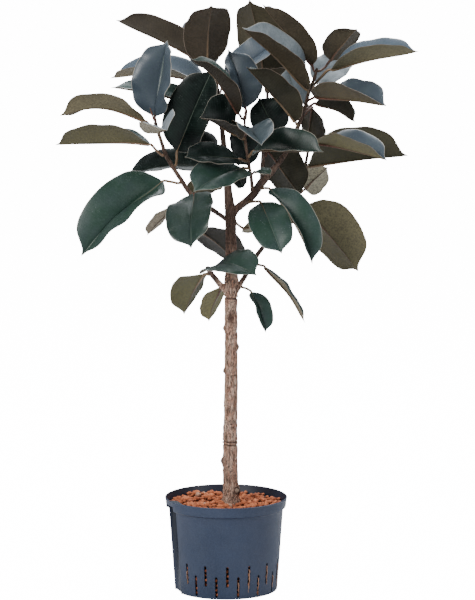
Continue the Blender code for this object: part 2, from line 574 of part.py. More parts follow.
# ---------------------------------------------------------------- buds at two branch tips
def bud(name, branch, end, thick):
    """Rolled bud sheath standing on the tip of a branch."""
    path, radii = PATHS[branch]
    axis = (path[-1] - path[-2]).normalized()
    radius = thick * CM * PLANT_SCALE
    foot = path[-1] + axis * (radii[-1] * 0.5 + radius * 0.25 + GAP)
    end = place(end)
    points = [foot + (end - foot) * t for t in (0.0, 0.25, 0.5, 0.8)]
    return tube(name, points, [radius * s for s in (0.8, 1.0, 0.85, 0.45)], 7)


bud_red = material("bud_sheath", (0.14, 0.05, 0.04), 0.45)
clear_name(bud("bud_left", "left", (-15.4, -1.1, 99.6), 0.20), "bud_left", bud_red)
clear_name(bud("bud_middle", "middle", (4.3, -1.7, 99.8), 0.16), "bud_middle", bud_red)

clear_name(pot, "pot", material("pot_plastic", (0.048, 0.062, 0.095), 0.5))
clear_name(clay, "clay_pebbles", material("fired_clay", (0.60, 0.19, 0.09), 0.9))
clear_name(wood, "trunk_and_branches", material("bark", (0.22, 0.13, 0.10), 0.85))

for obj in bpy.data.objects:
    for polygon in obj.data.polygons:
        polygon.use_smooth = True
    obj.data.set_sharp_from_angle(angle=math.radians(SHARP_ANGLE))
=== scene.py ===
import math

import bmesh
import bpy
import numpy as np
from mathutils import Matrix, Vector, noise


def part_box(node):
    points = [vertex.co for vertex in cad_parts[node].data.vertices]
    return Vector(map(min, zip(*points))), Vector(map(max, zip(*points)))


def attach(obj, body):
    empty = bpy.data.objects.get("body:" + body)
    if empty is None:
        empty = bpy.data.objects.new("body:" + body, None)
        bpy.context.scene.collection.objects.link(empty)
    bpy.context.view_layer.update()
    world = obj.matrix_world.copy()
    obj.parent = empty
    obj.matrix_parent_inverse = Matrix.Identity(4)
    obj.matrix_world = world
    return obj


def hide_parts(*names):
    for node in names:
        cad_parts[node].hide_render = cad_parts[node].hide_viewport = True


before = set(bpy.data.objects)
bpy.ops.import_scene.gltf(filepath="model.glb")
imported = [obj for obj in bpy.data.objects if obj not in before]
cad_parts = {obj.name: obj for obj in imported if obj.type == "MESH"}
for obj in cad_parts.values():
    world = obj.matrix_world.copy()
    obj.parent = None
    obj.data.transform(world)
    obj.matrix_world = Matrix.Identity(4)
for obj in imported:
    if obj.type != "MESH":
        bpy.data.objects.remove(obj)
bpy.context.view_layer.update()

# ---------------------------------------------------------------- studio
# A pale seamless floor under a large soft light from the front left, a wide one overhead and a
# pale room all round. The camera stands far back and a little above the middle of the plant.
FLOOR_HALF = 60
FLOOR_GLOW = 15.0
CAMERA_TILT = 8.28                             # degrees down from level

camera = bpy.data.objects.new("camera", bpy.data.cameras.new("camera"))
bpy.context.scene.collection.objects.link(camera)
camera.location = (0.0233, -6.5, 1.544)
camera.rotation_euler = (math.radians(90 - CAMERA_TILT), 0, 0)
camera.data.lens = 194.4
camera.data.clip_end = 200
bpy.context.scene.camera = camera


def soft_light(name, place, aim, size, power, color):
    """A rectangular lamp at a place, turned toward its aim."""
    lamp = bpy.data.lights.new(name, "AREA")
    lamp.shape = "RECTANGLE"
    lamp.size, lamp.size_y = size
    lamp.energy = power
    lamp.color = color
    obj = bpy.data.objects.new(name, lamp)
    bpy.context.scene.collection.objects.link(obj)
    obj.location = place
    obj.rotation_euler = (Vector(aim) - Vector(place)).to_track_quat("-Z", "Y").to_euler()


soft_light("key_light", (-2.6, -3.4, 3.0), (0, 0, 0.7), (2.2, 2.2), 210, (1.0, 0.98, 0.95))
soft_light("fill_light", (3.4, -2.6, 1.6), (0, 0, 0.6), (2.0, 2.6), 42, (0.95, 0.98, 1.0))
soft_light("top_light", (0.4, 1.6, 3.6), (0, 0, 1.0), (4.4, 3.4), 215, (0.93, 0.97, 1.0))

world = bpy.data.worlds.new("room")
world.use_nodes = True
world.node_tree.nodes["Background"].inputs["Color"].default_value = (0.93, 0.96, 1.0, 1)
world.node_tree.nodes["Background"].inputs["Strength"].default_value = 0.26
bpy.context.scene.world = world


def new_material(name, roughness):
    """A material with its node tree and its shader."""
    mat = bpy.data.materials.new(name)
    mat.use_nodes = True
    shader = mat.node_tree.nodes["Principled BSDF"]
    shader.inputs["Roughness"].default_value = roughness
    return mat, mat.node_tree, shader


def wire(tree, source, target, socket):
    """Joins an output, or sets a number or colour, on an input socket."""
    if isinstance(source, bpy.types.NodeSocket):
        tree.links.new(source, target.inputs[socket])
    else:
        target.inputs[socket].default_value = source


floor = bpy.data.objects.new("floor", bpy.data.meshes.new("floor"))
corners = [(-FLOOR_HALF, -FLOOR_HALF, 0), (FLOOR_HALF, -FLOOR_HALF, 0),
           (FLOOR_HALF, FLOOR_HALF, 0), (-FLOOR_HALF, FLOOR_HALF, 0)]
floor.data.from_pydata(corners, [], [(0, 1, 2, 3)])
bpy.context.scene.collection.objects.link(floor)
floor_paint, tree, shader = new_material("floor_paint", 0.9)
wire(tree, (0.62, 0.62, 0.63, 1), shader, "Base Color")
wire(tree, tree.nodes.new("ShaderNodeLightPath").outputs["Is Camera Ray"], shader, "Emission Strength")
wire(tree, (FLOOR_GLOW, FLOOR_GLOW, FLOOR_GLOW, 1), shader, "Emission Color")
floor.data.materials.append(floor_paint)

# ---------------------------------------------------------------- pot
# The culture pot is one injection moulding in matt slate-blue plastic: a tapered wall, a collar
# under the rim, a flute for the water gauge on the left and two staggered rows of drain slots.
pot_low, pot_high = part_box("pot")
RIM_R = (pot_high[0] - pot_low[0]) / 2
POT_H = pot_high[2]
BASE_R = 0.105
WALL = 0.0022
COLLAR_Z = POT_H - 0.021
WALL_TOP_R = RIM_R - 0.008
POT_SIDES = 160
FLUTE_AT = -73.5                               # degrees round from the front
FLUTE_TURN = math.radians(FLUTE_AT - 90)
FLUTE_HALF = 0.026
FLUTE_DEEP = 0.026
FLUTE_CORNER = 0.010
FLUTE_TOP = POT_H - 0.011
SLOTS_ROUND = 15
SLOT_LONG = 0.0435
SLOT_WIDE = 0.0053
SLOT_ROWS = ((1.5, 0.026), (13.5, 0.0042))     # degrees to the first slot, height of its lower end
SLOT_REACH = (0.094, 0.132)                    # radii between which a slot is cut
SLOT_CLEAR = 20                                # degrees without slots either side of the flute
SLATE_DEEP = (0.020, 0.034, 0.073, 1)
SLATE = (0.031, 0.048, 0.096, 1)
SLATE_SCUFFED = (0.060, 0.080, 0.125, 1)
SLATE_GRAIN = (0.050, 0.070, 0.125, 1)
POT_DUST = (0.30, 0.29, 0.28, 1)
POT_PAINTED_SHADE = (0.006, 0.010, 0.018, 1)


def mesh_from(name, verts, faces):
    """A mesh with its faces turned outward."""
    mesh = bpy.data.meshes.new(name)
    mesh.from_pydata([tuple(v) for v in verts], [], faces)
    work = bmesh.new()
    work.from_mesh(mesh)
    bmesh.ops.recalc_face_normals(work, faces=work.faces)
    work.to_mesh(mesh)
    work.free()
    return mesh


def lathe(profile, segments):
    """Closed solid of revolution; the profile starts and ends on the axis."""
    verts = [(0, 0, profile[0][1]), (0, 0, profile[-1][1])]
    for radius, z in profile[1:-1]:
        for j in range(segments):
            a = 2 * math.pi * j / segments
            verts.append((radius * math.cos(a), radius * math.sin(a), z))
    faces = []
    last = 2 + (len(profile) - 3) * segments
    for j in range(segments):
        k = (j + 1) % segments
        faces.append((0, 2 + k, 2 + j))
        faces.append((1, last + j, last + k))
        for row in range(2, last, segments):
            faces.append((row + j, row + k, row + segments + k, row + segments + j))
    return mesh_from("lathe", verts, faces)


def ring_faces(levels, sides):
    """Faces of a closed solid whose corners are rings, one above the other."""
    last = (levels - 1) * sides
    faces = [tuple(range(sides))[::-1], tuple(range(last, last + sides))]
    return faces + [(row + j, row + (j + 1) % sides, row + sides + (j + 1) % sides, row + sides + j)
                    for row in range(0, last, sides) for j in range(sides)]


def wall_r(z):
    """Outside radius of the tapered wall at a height."""
    return BASE_R + (WALL_TOP_R - BASE_R) * z / COLLAR_Z


outside = [(0, 0), (BASE_R - 0.003, 0), (BASE_R - 0.0012, 0.0004), (BASE_R - 0.0002, 0.0014),
           (BASE_R, 0.003)]
outside += [(wall_r(z), z) for z in np.linspace(0.012, COLLAR_Z - 0.0035, 9)]
outside += [(WALL_TOP_R + 0.0003, COLLAR_Z - 0.0022), (WALL_TOP_R + 0.0016, COLLAR_Z - 0.0009),
            (RIM_R - 0.0042, COLLAR_Z - 0.0002), (RIM_R - 0.0030, COLLAR_Z + 0.0006),
            (RIM_R - 0.0025, COLLAR_Z + 0.0018), (RIM_R - 0.0017, COLLAR_Z + 0.009),
            (RIM_R - 0.0010, POT_H - 0.0050), (RIM_R - 0.0009, POT_H - 0.0034),
            (RIM_R - 0.0002, POT_H - 0.0026), (RIM_R, POT_H - 0.0018), (RIM_R - 0.0002, POT_H - 0.0008),
            (RIM_R - 0.0010, POT_H - 0.0001), (RIM_R - 0.0018, POT_H), (RIM_R - 0.0027, POT_H - 0.0006),
            (RIM_R - 0.0031, POT_H - 0.002)]
inside = [(RIM_R - 0.0042, COLLAR_Z + 0.006), (RIM_R - 0.0052, COLLAR_Z + 0.0028),
          (WALL_TOP_R - WALL, COLLAR_Z), (wall_r(0.12) - WALL, 0.12), (wall_r(0.06) - WALL, 0.06),
          (BASE_R - WALL, 0.005), (BASE_R - WALL - 0.002, 0.003), (0, 0.003)]
pot_mesh = lathe(outside + inside, POT_SIDES)


def flute(grow, low, high, segments=7):
    """The gauge flute as a solid: straight sides with a rounded inner end."""
    half = FLUTE_HALF + grow
    end = RIM_R - FLUTE_DEEP - grow
    corner = FLUTE_CORNER + grow
    plan = [(RIM_R + 0.01, -half), (RIM_R + 0.01, half)]
    for side, first in ((1, math.pi / 2), (-1, math.pi)):
        for step in range(segments):
            a = first + step * math.pi / 2 / (segments - 1)
            plan.append((end + corner + corner * math.cos(a), side * (half - corner) + corner * math.sin(a)))
    c, s = math.cos(FLUTE_TURN), math.sin(FLUTE_TURN)
    verts = [(x * c - y * s, x * s + y * c, z) for z in (low, high) for x, y in plan]
    return verts, ring_faces(2, len(plan))


def evaluated(obj):
    """The object's mesh with its modifiers applied; the object itself goes."""
    mesh = bpy.data.meshes.new_from_object(obj.evaluated_get(bpy.context.evaluated_depsgraph_get()))
    bpy.data.objects.remove(obj, do_unlink=True)
    mesh.materials.clear()
    return mesh


def cut(mesh, solids, how="DIFFERENCE"):
    """Exact Boolean of a mesh with one or more (verts, faces) solids that don't touch each other."""
    verts, faces = [], []
    for v, f in solids:
        faces += [tuple(len(verts) + i for i in face) for face in f]
        verts += v
    tool = bpy.data.objects.new("tool", mesh_from("tool", verts, faces))
    body = bpy.data.objects.new("body", mesh)
    for obj in (tool, body):
        bpy.context.scene.collection.objects.link(obj)
    mod = body.modifiers.new("cut", "BOOLEAN")
    mod.operation = how
    mod.solver = "EXACT"
    mod.object = tool
    result = evaluated(body)
    bpy.data.objects.remove(tool, do_unlink=True)
    return result


# The flute is a second, closed wall: its ground is filled first, then the flute itself is cut.
INSIDE = 0.9999                                # keeps the ground just short of the outside wall
turns = [2 * math.pi * j / POT_SIDES for j in range(POT_SIDES)]
bore = [(r * math.cos(a) * INSIDE, r * math.sin(a) * INSIDE, z)
        for z, r in ((0.0, BASE_R), (COLLAR_Z, WALL_TOP_R), (POT_H - 0.004, WALL_TOP_R)) for a in turns]
ground = mesh_from("ground", *flute(WALL, 0.0, FLUTE_TOP + WALL))
ground = cut(ground, [(bore, ring_faces(3, POT_SIDES))], "INTERSECT")
ground_solid = ([tuple(v.co) for v in ground.vertices], [tuple(p.vertices) for p in ground.polygons])
pot_mesh = cut(pot_mesh, [ground_solid], "UNION")
pot_mesh = cut(pot_mesh, [flute(0.0, -0.01, FLUTE_TOP)])


def slot_solid(angle, low, high):
    """A drain slot with round ends, through the wall at an angle from the front."""
    a = math.radians(angle - 90)
    radial = Vector((math.cos(a), math.sin(a), 0))
    across = Vector((-math.sin(a), math.cos(a), 0))
    end_r = SLOT_WIDE / 2
    ring = []
    for centre, first in ((high - end_r, 0), (low + end_r, math.pi)):
        for step in range(6):
            t = first + step * math.pi / 5
            ring.append((math.cos(t) * end_r, centre + math.sin(t) * end_r))
    verts = [tuple(radial * r + across * x + Vector((0, 0, z))) for r in SLOT_REACH for x, z in ring]
    return verts, [face[::-1] for face in ring_faces(2, len(ring))]


def shade(mesh, angle):
    """Smooth shading with sharp edges above an angle in degrees."""
    mesh.polygons.foreach_set("use_smooth", [True] * len(mesh.polygons))
    mesh.set_sharp_from_angle(angle=math.radians(angle))


slots = []
for k in range(SLOTS_ROUND):
    for first, low in SLOT_ROWS:
        angle = k * 360 / SLOTS_ROUND + first
        if abs((angle - FLUTE_AT + 180) % 360 - 180) > SLOT_CLEAR:
            slots.append(slot_solid(angle, low, low + SLOT_LONG))
pot_mesh = cut(pot_mesh, slots)
shade(pot_mesh, 32)


def maths(tree, how, a, b=None, c=None, clamp=False):
    node = tree.nodes.new("ShaderNodeMath")
    node.operation = how
    node.use_clamp = clamp
    for socket, value in enumerate((a, b, c)):
        if value is not None:
            wire(tree, value, node, socket)
    return node.outputs[0]


def times(tree, a, b):
    return maths(tree, "MULTIPLY", a, b)


def vector_maths(tree, how, a, b):
    node = tree.nodes.new("ShaderNodeVectorMath")
    node.operation = how
    wire(tree, a, node, 0)
    wire(tree, b, node, 1)
    return node.outputs["Value" if how in ("DOT_PRODUCT", "DISTANCE") else "Vector"]


def ramp(tree, value, low, high, to_low=0.0, to_high=1.0):
    """Eases from to_low to to_high as the value goes from low to high."""
    node = tree.nodes.new("ShaderNodeMapRange")
    node.interpolation_type = "SMOOTHSTEP"
    for socket, number in enumerate((value, low, high, to_low, to_high)):
        wire(tree, number, node, socket)
    return node.outputs[0]


def mix(tree, amount, a, b, how="MIX"):
    node = tree.nodes.new("ShaderNodeMix")
    node.data_type = "RGBA"
    node.blend_type = how
    for socket, value in ((0, amount), (6, a), (7, b)):
        wire(tree, value, node, socket)
    return node.outputs[2]


def grain(tree, vector, scale, detail=4.0, rough=0.55, distort=0.0):
    node = tree.nodes.new("ShaderNodeTexNoise")
    labels = ("Vector", "Scale", "Detail", "Roughness", "Distortion")
    for label, value in zip(labels, (vector, scale, detail, rough, distort)):
        wire(tree, value, node, label)
    return node.outputs["Fac"]


def bump(tree, height, strength, distance, normal=None):
    node = tree.nodes.new("ShaderNodeBump")
    for label, value in (("Height", height), ("Strength", strength), ("Distance", distance)):
        wire(tree, value, node, label)
    if normal is not None:
        wire(tree, normal, node, "Normal")
    return node.outputs[0]


def object_place(tree):
    return tree.nodes.new("ShaderNodeTexCoord").outputs["Object"]


def facing(tree):
    return tree.nodes.new("ShaderNodeNewGeometry").outputs["Normal"]


def new_group(name, inputs, outputs):
    """An empty shader group; inputs are (name, default), outputs are names, all of them numbers."""
    tree = bpy.data.node_groups.new(name, "ShaderNodeTree")
    for label, value in inputs:
        socket = tree.interface.new_socket(label, in_out="INPUT", socket_type="NodeSocketFloat")
        socket.default_value = value
    for label in outputs:
        tree.interface.new_socket(label, in_out="OUTPUT", socket_type="NodeSocketFloat")
    return tree, tree.nodes.new("NodeGroupInput"), tree.nodes.new("NodeGroupOutput")


def group_node(tree, group, **values):
    """Places a group in a material with its own values."""
    node = tree.nodes.new("ShaderNodeGroup")
    node.node_tree = group
    for label, value in values.items():
        wire(tree, value, node, label)
    return node


# Fine settled dust: specks and a thin film, thicker where the surface faces up.
dust_group, dust_in, dust_out = new_group(
    "settled_dust", [("Scale", 900.0), ("Specks", 0.5), ("Film", 0.2)], ["Mask"])
tree = dust_group
dust_place = object_place(tree)
dust_spots = tree.nodes.new("ShaderNodeTexVoronoi")
wire(tree, dust_place, dust_spots, "Vector")
wire(tree, dust_in.outputs["Scale"], dust_spots, "Scale")
speck = ramp(tree, dust_spots.outputs["Distance"], 0.10, 0.24, 1.0, 0.0)
where = ramp(tree, grain(tree, dust_place, 55.0, 3.0), 0.50, 0.66)
film = ramp(tree, grain(tree, dust_place, 24.0, 5.0, 0.65), 0.35, 0.75)
upward = vector_maths(tree, "DOT_PRODUCT", facing(tree), (0.0, 0.0, 1.0))
upward = ramp(tree, upward, -0.2, 0.8, 0.3, 1.0)
spotted = times(tree, speck, where)
spotted = times(tree, spotted, dust_in.outputs["Specks"])
filmed = times(tree, film, dust_in.outputs["Film"])
both = maths(tree, "ADD", spotted, filmed)
wire(tree, maths(tree, "MULTIPLY", both, upward, clamp=True), dust_out, "Mask")

plastic, tree, shader = new_material("slate_plastic", 0.42)
spot = object_place(tree)
cloud = grain(tree, spot, 9.0, 3.0)
fine = grain(tree, spot, 420.0, 2.0)
base = mix(tree, ramp(tree, cloud, 0.3, 0.7), SLATE_DEEP, SLATE)
scratches = grain(tree, vector_maths(tree, "MULTIPLY", spot, (14.0, 14.0, 90.0)), 1.0, 6.0, 0.7)
base = mix(tree, times(tree, ramp(tree, scratches, 0.62, 0.78), 0.22), base, SLATE_SCUFFED)
base = mix(tree, ramp(tree, fine, 0.42, 0.62, 0.0, 0.35), base, SLATE_GRAIN)
pot_dust = group_node(tree, dust_group, Scale=700.0, Specks=0.20, Film=0.08)
base = mix(tree, pot_dust.outputs["Mask"], base, POT_DUST)
# Painted shade darkens the plastic deep in the flute and on the inside wall, which faces the axis.
outward = (math.cos(FLUTE_TURN), math.sin(FLUTE_TURN), 0.0)
sideways = (-math.sin(FLUTE_TURN), math.cos(FLUTE_TURN), 0.0)
up = vector_maths(tree, "DOT_PRODUCT", spot, (0.0, 0.0, 1.0))
recess = maths(tree, "SUBTRACT", maths(tree, "MULTIPLY_ADD", up, 0.085, 0.1045),
               vector_maths(tree, "DOT_PRODUCT", spot, outward))
aside = maths(tree, "ABSOLUTE", vector_maths(tree, "DOT_PRODUCT", spot, sideways))
within = ramp(tree, aside, FLUTE_HALF, FLUTE_HALF + 0.010, 1.0, 0.0)
in_front = ramp(tree, recess, 0.002, 0.012, 0.0, 0.85)
beyond = ramp(tree, recess, 0.030, 0.045, 1.0, 0.0)
flute_shade = times(tree, times(tree, within, in_front), beyond)
from_axis = vector_maths(tree, "MULTIPLY", spot, (1.0, 1.0, 0.0))
inner_wall_shade = ramp(tree, vector_maths(tree, "DOT_PRODUCT", from_axis, facing(tree)), -0.06, -0.01, 0.62, 0.0)
# both masks are painted shade, not dirt or damp
base = mix(tree, maths(tree, "MAXIMUM", flute_shade, inner_wall_shade), base, POT_PAINTED_SHADE)
wire(tree, base, shader, "Base Color")
wire(tree, ramp(tree, cloud, 0.2, 0.8, 0.36, 0.50), shader, "Roughness")
wire(tree, bump(tree, fine, 0.25, 0.0004), shader, "Normal")


def mesh_piece(name, mesh, node, slot, *materials):
    """Adds a finished mesh as the piece that stands for a node."""
    piece = bpy.data.objects.new(name, mesh)
    bpy.context.scene.collection.objects.link(piece)
    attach(piece, "root")
    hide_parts(node)
    for mat in materials:
        mesh.materials.append(mat)


mesh_piece("pot_moulding", pot_mesh, "pot", "pot_plastic", plastic)

# ---------------------------------------------------------------- clay pebbles
# Fired clay balls, brick orange with a matt crust, poured loose round the root ball; the topmost
# ones stand up to the rim and a few show dark or pale. More of them show through the slots.
CLAY_TOP = POT_H - 0.014
TRUNK_FOOT = (0.009, -0.006)
TRUNK_CLEAR = 0.019                            # no pebble's middle comes closer to the trunk's axis
PEBBLE_STEP = 0.0119                           # between neighbours of a layer
ROW_STEP = PEBBLE_STEP * 0.866
PEBBLE_LOOSE = 0.0022
PEBBLE_R = [0.0038, 0.0048, 0.0057, 0.0067, 0.0078]
PEBBLE_SHARE = [0.14, 0.26, 0.30, 0.20, 0.10]
# Each layer: depth under CLAY_TOP, unevenness, how far out it comes, share left out.
LAYERS = ((0.0085, 0.002, 0.1165, 0.0), (0.0020, 0.0032, 0.1212, 0.20))
WALL_ROWS = 8
WALL_ROW_STEP = 0.0098
WALL_AROUND = 62
# Each root: degrees from the front, height where it comes out, length of its hanging part.
ROOTS = ((25.5, 0.060, 0.046), (25.5, 0.052, 0.030), (37.5, 0.040, 0.034), (49.5, 0.062, 0.038),
         (61.5, 0.038, 0.024), (73.5, 0.058, 0.052), (13.5, 0.034, 0.020), (-46.5, 0.052, 0.026))
ROOT_R = 0.00075
ROOT_SIDES = 6
CORE_SIDES = 96
CLAY_DARK = (0.26, 0.056, 0.020, 1)
CLAY_LIGHT = (0.72, 0.235, 0.095, 1)
CLAY_BLOTCH = (0.56, 0.160, 0.060, 1)
CLAY_PALE = (0.52, 0.30, 0.20, 1)
CLAY_PIT = (0.10, 0.024, 0.012, 1)
CLAY_DUST = (0.72, 0.32, 0.17, 1)
CLAY_SHADE = (0.045, 0.011, 0.005, 1)
CORE_SHADE_BLACK = (0.012, 0.006, 0.004, 1)
rng = np.random.default_rng(11)


def pebble_shapes(count, level):
    """Knobbly closed balls of about unit radius, as (points, triangles)."""
    out = []
    for k in range(count):
        ball = bmesh.new()
        bmesh.ops.create_icosphere(ball, subdivisions=level, radius=1.0)
        pts = np.array([v.co for v in ball.verts])
        tris = np.array([[v.index for v in f.verts] for f in ball.faces])
        ball.free()
        lump = np.array([1.0 + 0.30 * noise.noise(Vector(p) * 1.3 + Vector((7.0 * k, 0, 0)))
                         + 0.20 * noise.noise(Vector(p) * 3.1 + Vector((0, 5.0 * k, 0))) for p in pts])
        flat = np.array([1.0, rng.uniform(0.72, 0.98), rng.uniform(0.62, 0.88)])
        out.append((pts * lump[:, None] * flat, tris))
    return out


def in_flute(x, y, spare):
    """True inside the flute's inner wall, which the pebbles keep clear of."""
    along = x * math.cos(FLUTE_TURN) + y * math.sin(FLUTE_TURN)
    over = -x * math.sin(FLUTE_TURN) + y * math.cos(FLUTE_TURN)
    return along > RIM_R - FLUTE_DEEP - WALL - spare and abs(over) < FLUTE_HALF + WALL + spare


pebbles = []                                   # x, y, z, radius
rows = int(0.12 / ROW_STEP) + 1
for layer, (drop, uneven, reach, left_out) in enumerate(LAYERS):
    for i in range(-rows, rows + 1):
        for j in range(-rows - 4, rows + 5):
            x = (j + 0.5 * (i % 2) + 0.5 * layer) * PEBBLE_STEP + rng.uniform(-1, 1) * PEBBLE_LOOSE
            y = (i + 0.33 * layer) * ROW_STEP + rng.uniform(-1, 1) * PEBBLE_LOOSE
            r = rng.choice(PEBBLE_R, p=PEBBLE_SHARE)
            trunk = math.hypot(x - TRUNK_FOOT[0], y - TRUNK_FOOT[1])
            if math.hypot(x, y) + r > reach or trunk < TRUNK_CLEAR or in_flute(x, y, r):
                continue
            heap = 0.0045 * math.exp(-((x + 0.05) ** 2 + (y - 0.07) ** 2) / 0.0018)
            heap += 0.0025 * math.exp(-((trunk - 0.03) ** 2) / 0.0003)
            z = CLAY_TOP - drop + heap + rng.uniform(-1, 1) * uneven
            if left_out and rng.random() < left_out:
                continue
            pebbles.append((x, y, z, r))
top_count = len(pebbles)
for row in range(WALL_ROWS):                   # against the wall, behind the slots
    z = 0.009 + row * WALL_ROW_STEP
    for j in range(WALL_AROUND):
        a = 2 * math.pi * (j + 0.5 * (row % 2)) / WALL_AROUND
        r = rng.uniform(0.0047, 0.0062)
        reach = wall_r(z) - WALL - r * 0.86 - rng.uniform(0.0, 0.0012)
        x, y = reach * math.cos(a), reach * math.sin(a)
        if not in_flute(x, y, r * 0.8):
            pebbles.append((x, y, z, r))

shapes = pebble_shapes(9, 3)
plain_shapes = pebble_shapes(5, 2)
clay_v, clay_f, clay_tone = [], [], []
count = 0
for k, (x, y, z, r) in enumerate(pebbles):
    pts, tris = shapes[k % 9] if k < top_count else plain_shapes[k % 5]
    turn = Matrix.Rotation(rng.uniform(0, 6.28), 3, "Z") @ Matrix.Rotation(rng.uniform(-0.5, 0.5), 3, "X")
    clay_v.append(pts @ np.array(turn).T * r + (x, y, z))
    clay_f.append(tris + count)
    tone = rng.random()
    pale = 1.0 if rng.random() < 0.015 else 0.0
    lifted = (clay_v[-1][:, 2] - z) / r
    clay_tone.append(np.column_stack([np.full(len(pts), tone), np.full(len(pts), pale),
                                      np.clip(0.5 + 0.5 * lifted, 0, 1), np.ones(len(pts))]))
    count += len(pts)

# A few pale roots have found their way out of the slots and hang against the wall.
UP = Vector((0, 0, 1))
for angle, root_z, fall in ROOTS:
    turn = math.radians(angle - 90)
    out_dir = Vector((math.cos(turn), math.sin(turn), 0))
    aside = Vector((-math.sin(turn), math.cos(turn), 0))
    sway = rng.uniform(-1, 1, 8) * 0.0011
    line = [out_dir * (wall_r(root_z) - 0.0065) + UP * (root_z + 0.002),
            out_dir * (wall_r(root_z) - 0.0010) + UP * (root_z + 0.001)]
    for t in range(7):
        z = root_z - fall * t / 6
        if z > 0.003:
            line.append(out_dir * (wall_r(z) + 0.0012) + aside * sway[t] + UP * z)
    points = []
    for i, place in enumerate(line):
        thick = ROOT_R * (1 - 0.6 * i / len(line))
        for j in range(ROOT_SIDES):
            t = 2 * math.pi * j / ROOT_SIDES
            points.append(place + (aside * math.cos(t) + (out_dir if i > 1 else UP) * math.sin(t)) * thick)
    quads = ring_faces(len(line), ROOT_SIDES)[2:]
    tris = [(a, b, d) for a, b, c, d in quads] + [(b, c, d) for a, b, c, d in quads]
    clay_v.append(np.array(points))
    clay_f.append(np.array(tris) + count)
    clay_tone.append(np.tile([0.6, 1.0, 1.0, 1.0], (len(points), 1)))
    count += len(points)

# A dark core of smaller clay and roots closes the gaps under the pebbles; its near-black colour is painted
# shade for the deep gaps.
core_low, core_high = 0.0034, CLAY_TOP - 0.0105
core_v = []
for z, inset in ((core_low, 0.0065), (0.06, 0.0065), (core_high - 0.02, 0.0060), (core_high, 0.0040)):
    for j in range(CORE_SIDES):
        c, s = math.cos(2 * math.pi * j / CORE_SIDES), math.sin(2 * math.pi * j / CORE_SIDES)
        radius = wall_r(min(z, COLLAR_Z)) - WALL - inset
        while in_flute(radius * c, radius * s, 0.0012):
            radius -= 0.0005
        core_v.append((radius * c, radius * s, z))
core_f = [tuple(count + v for v in face) for face in ring_faces(4, CORE_SIDES)]
clay_mesh = bpy.data.meshes.new("clay")
clay_v.append(np.array(core_v))
clay_mesh.from_pydata(np.vstack(clay_v).tolist(), [], np.vstack(clay_f).tolist() + core_f)
# For each point: tone, paleness, how high it is on its ball, and 0 on the core.
tones = np.vstack(clay_tone + [np.tile([0.0, 0.0, 0.5, 0.0], (len(core_v), 1))])
clay_mesh.attributes.new("pebble", "FLOAT_COLOR", "POINT").data.foreach_set("color", tones.ravel())
clay_mesh.update()
shade(clay_mesh, 70)


def painted(tree, attribute):
    """The four shares that a mesh carries at its points."""
    carried = tree.nodes.new("ShaderNodeAttribute")
    carried.attribute_name = attribute
    parts = tree.nodes.new("ShaderNodeSeparateColor")
    wire(tree, carried.outputs["Color"], parts, 0)
    return parts.outputs["Red"], parts.outputs["Green"], parts.outputs["Blue"], carried.outputs["Alpha"]


fired, tree, shader = new_material("fired_clay_crust", 0.9)
spot = object_place(tree)
tone, pale, lifted, loose = painted(tree, "pebble")
crust = grain(tree, spot, 520.0, 5.0, 0.65)
blotch = grain(tree, spot, 120.0, 3.0)
hue = mix(tree, tone, CLAY_DARK, CLAY_LIGHT)
hue = mix(tree, ramp(tree, blotch, 0.35, 0.7), hue, CLAY_BLOTCH)
hue = mix(tree, pale, hue, CLAY_PALE)
hue = mix(tree, ramp(tree, crust, 0.30, 0.48, 0.8, 0.0), hue, CLAY_PIT)
hue = mix(tree, ramp(tree, crust, 0.60, 0.78, 0.0, 0.45), hue, CLAY_DUST)
# painted shade on the lower half of each pebble
hue = mix(tree, ramp(tree, lifted, 0.20, 0.80, 0.92, 0.0), hue, CLAY_SHADE)
# the core is painted near-black as the shade deep in the gaps
hue = mix(tree, maths(tree, "SUBTRACT", 1.0, loose), hue, CORE_SHADE_BLACK)
wire(tree, hue, shader, "Base Color")
wire(tree, ramp(tree, crust, 0.3, 0.7, 0.95, 0.78), shader, "Roughness")
pits = bump(tree, crust, 0.9, 0.0012)
wire(tree, bump(tree, blotch, 0.4, 0.0015, pits), shader, "Normal")
mesh_piece("clay_pebble_bed", clay_mesh, "clay_pebbles", "fired_clay", fired)

# ---------------------------------------------------------------- trunk and branches
# One woody stem with its branches. The old trunk has pinkish-grey bark split into upright ridges,
# with knots and the ring scars of old leaves; the young branches are smoother and red-brown.
TRUNK_X = 0.010
TRUNK_Y = -0.006
TRUNK_R = 0.013
NEAR = 0.03                                    # what is closer to the axis is trunk
# Each knot: degrees round the trunk, height, swelling, width.
KNOTS = ((198, 0.541, 0.0085, 0.009), (338, 0.504, 0.0085, 0.010), (196, 0.4545, 0.0085, 0.009),
         (300, 0.350, 0.0045, 0.008), (192, 0.268, 0.0100, 0.013), (330, 0.205, 0.0100, 0.011),
         (262, 0.560, -0.0020, 0.010), (70, 0.30, 0.0040, 0.012), (110, 0.47, 0.0045, 0.010),
         (40, 0.57, 0.0040, 0.010), (240, 0.232, 0.0035, 0.010), (250, 0.374, 0.0040, 0.008))
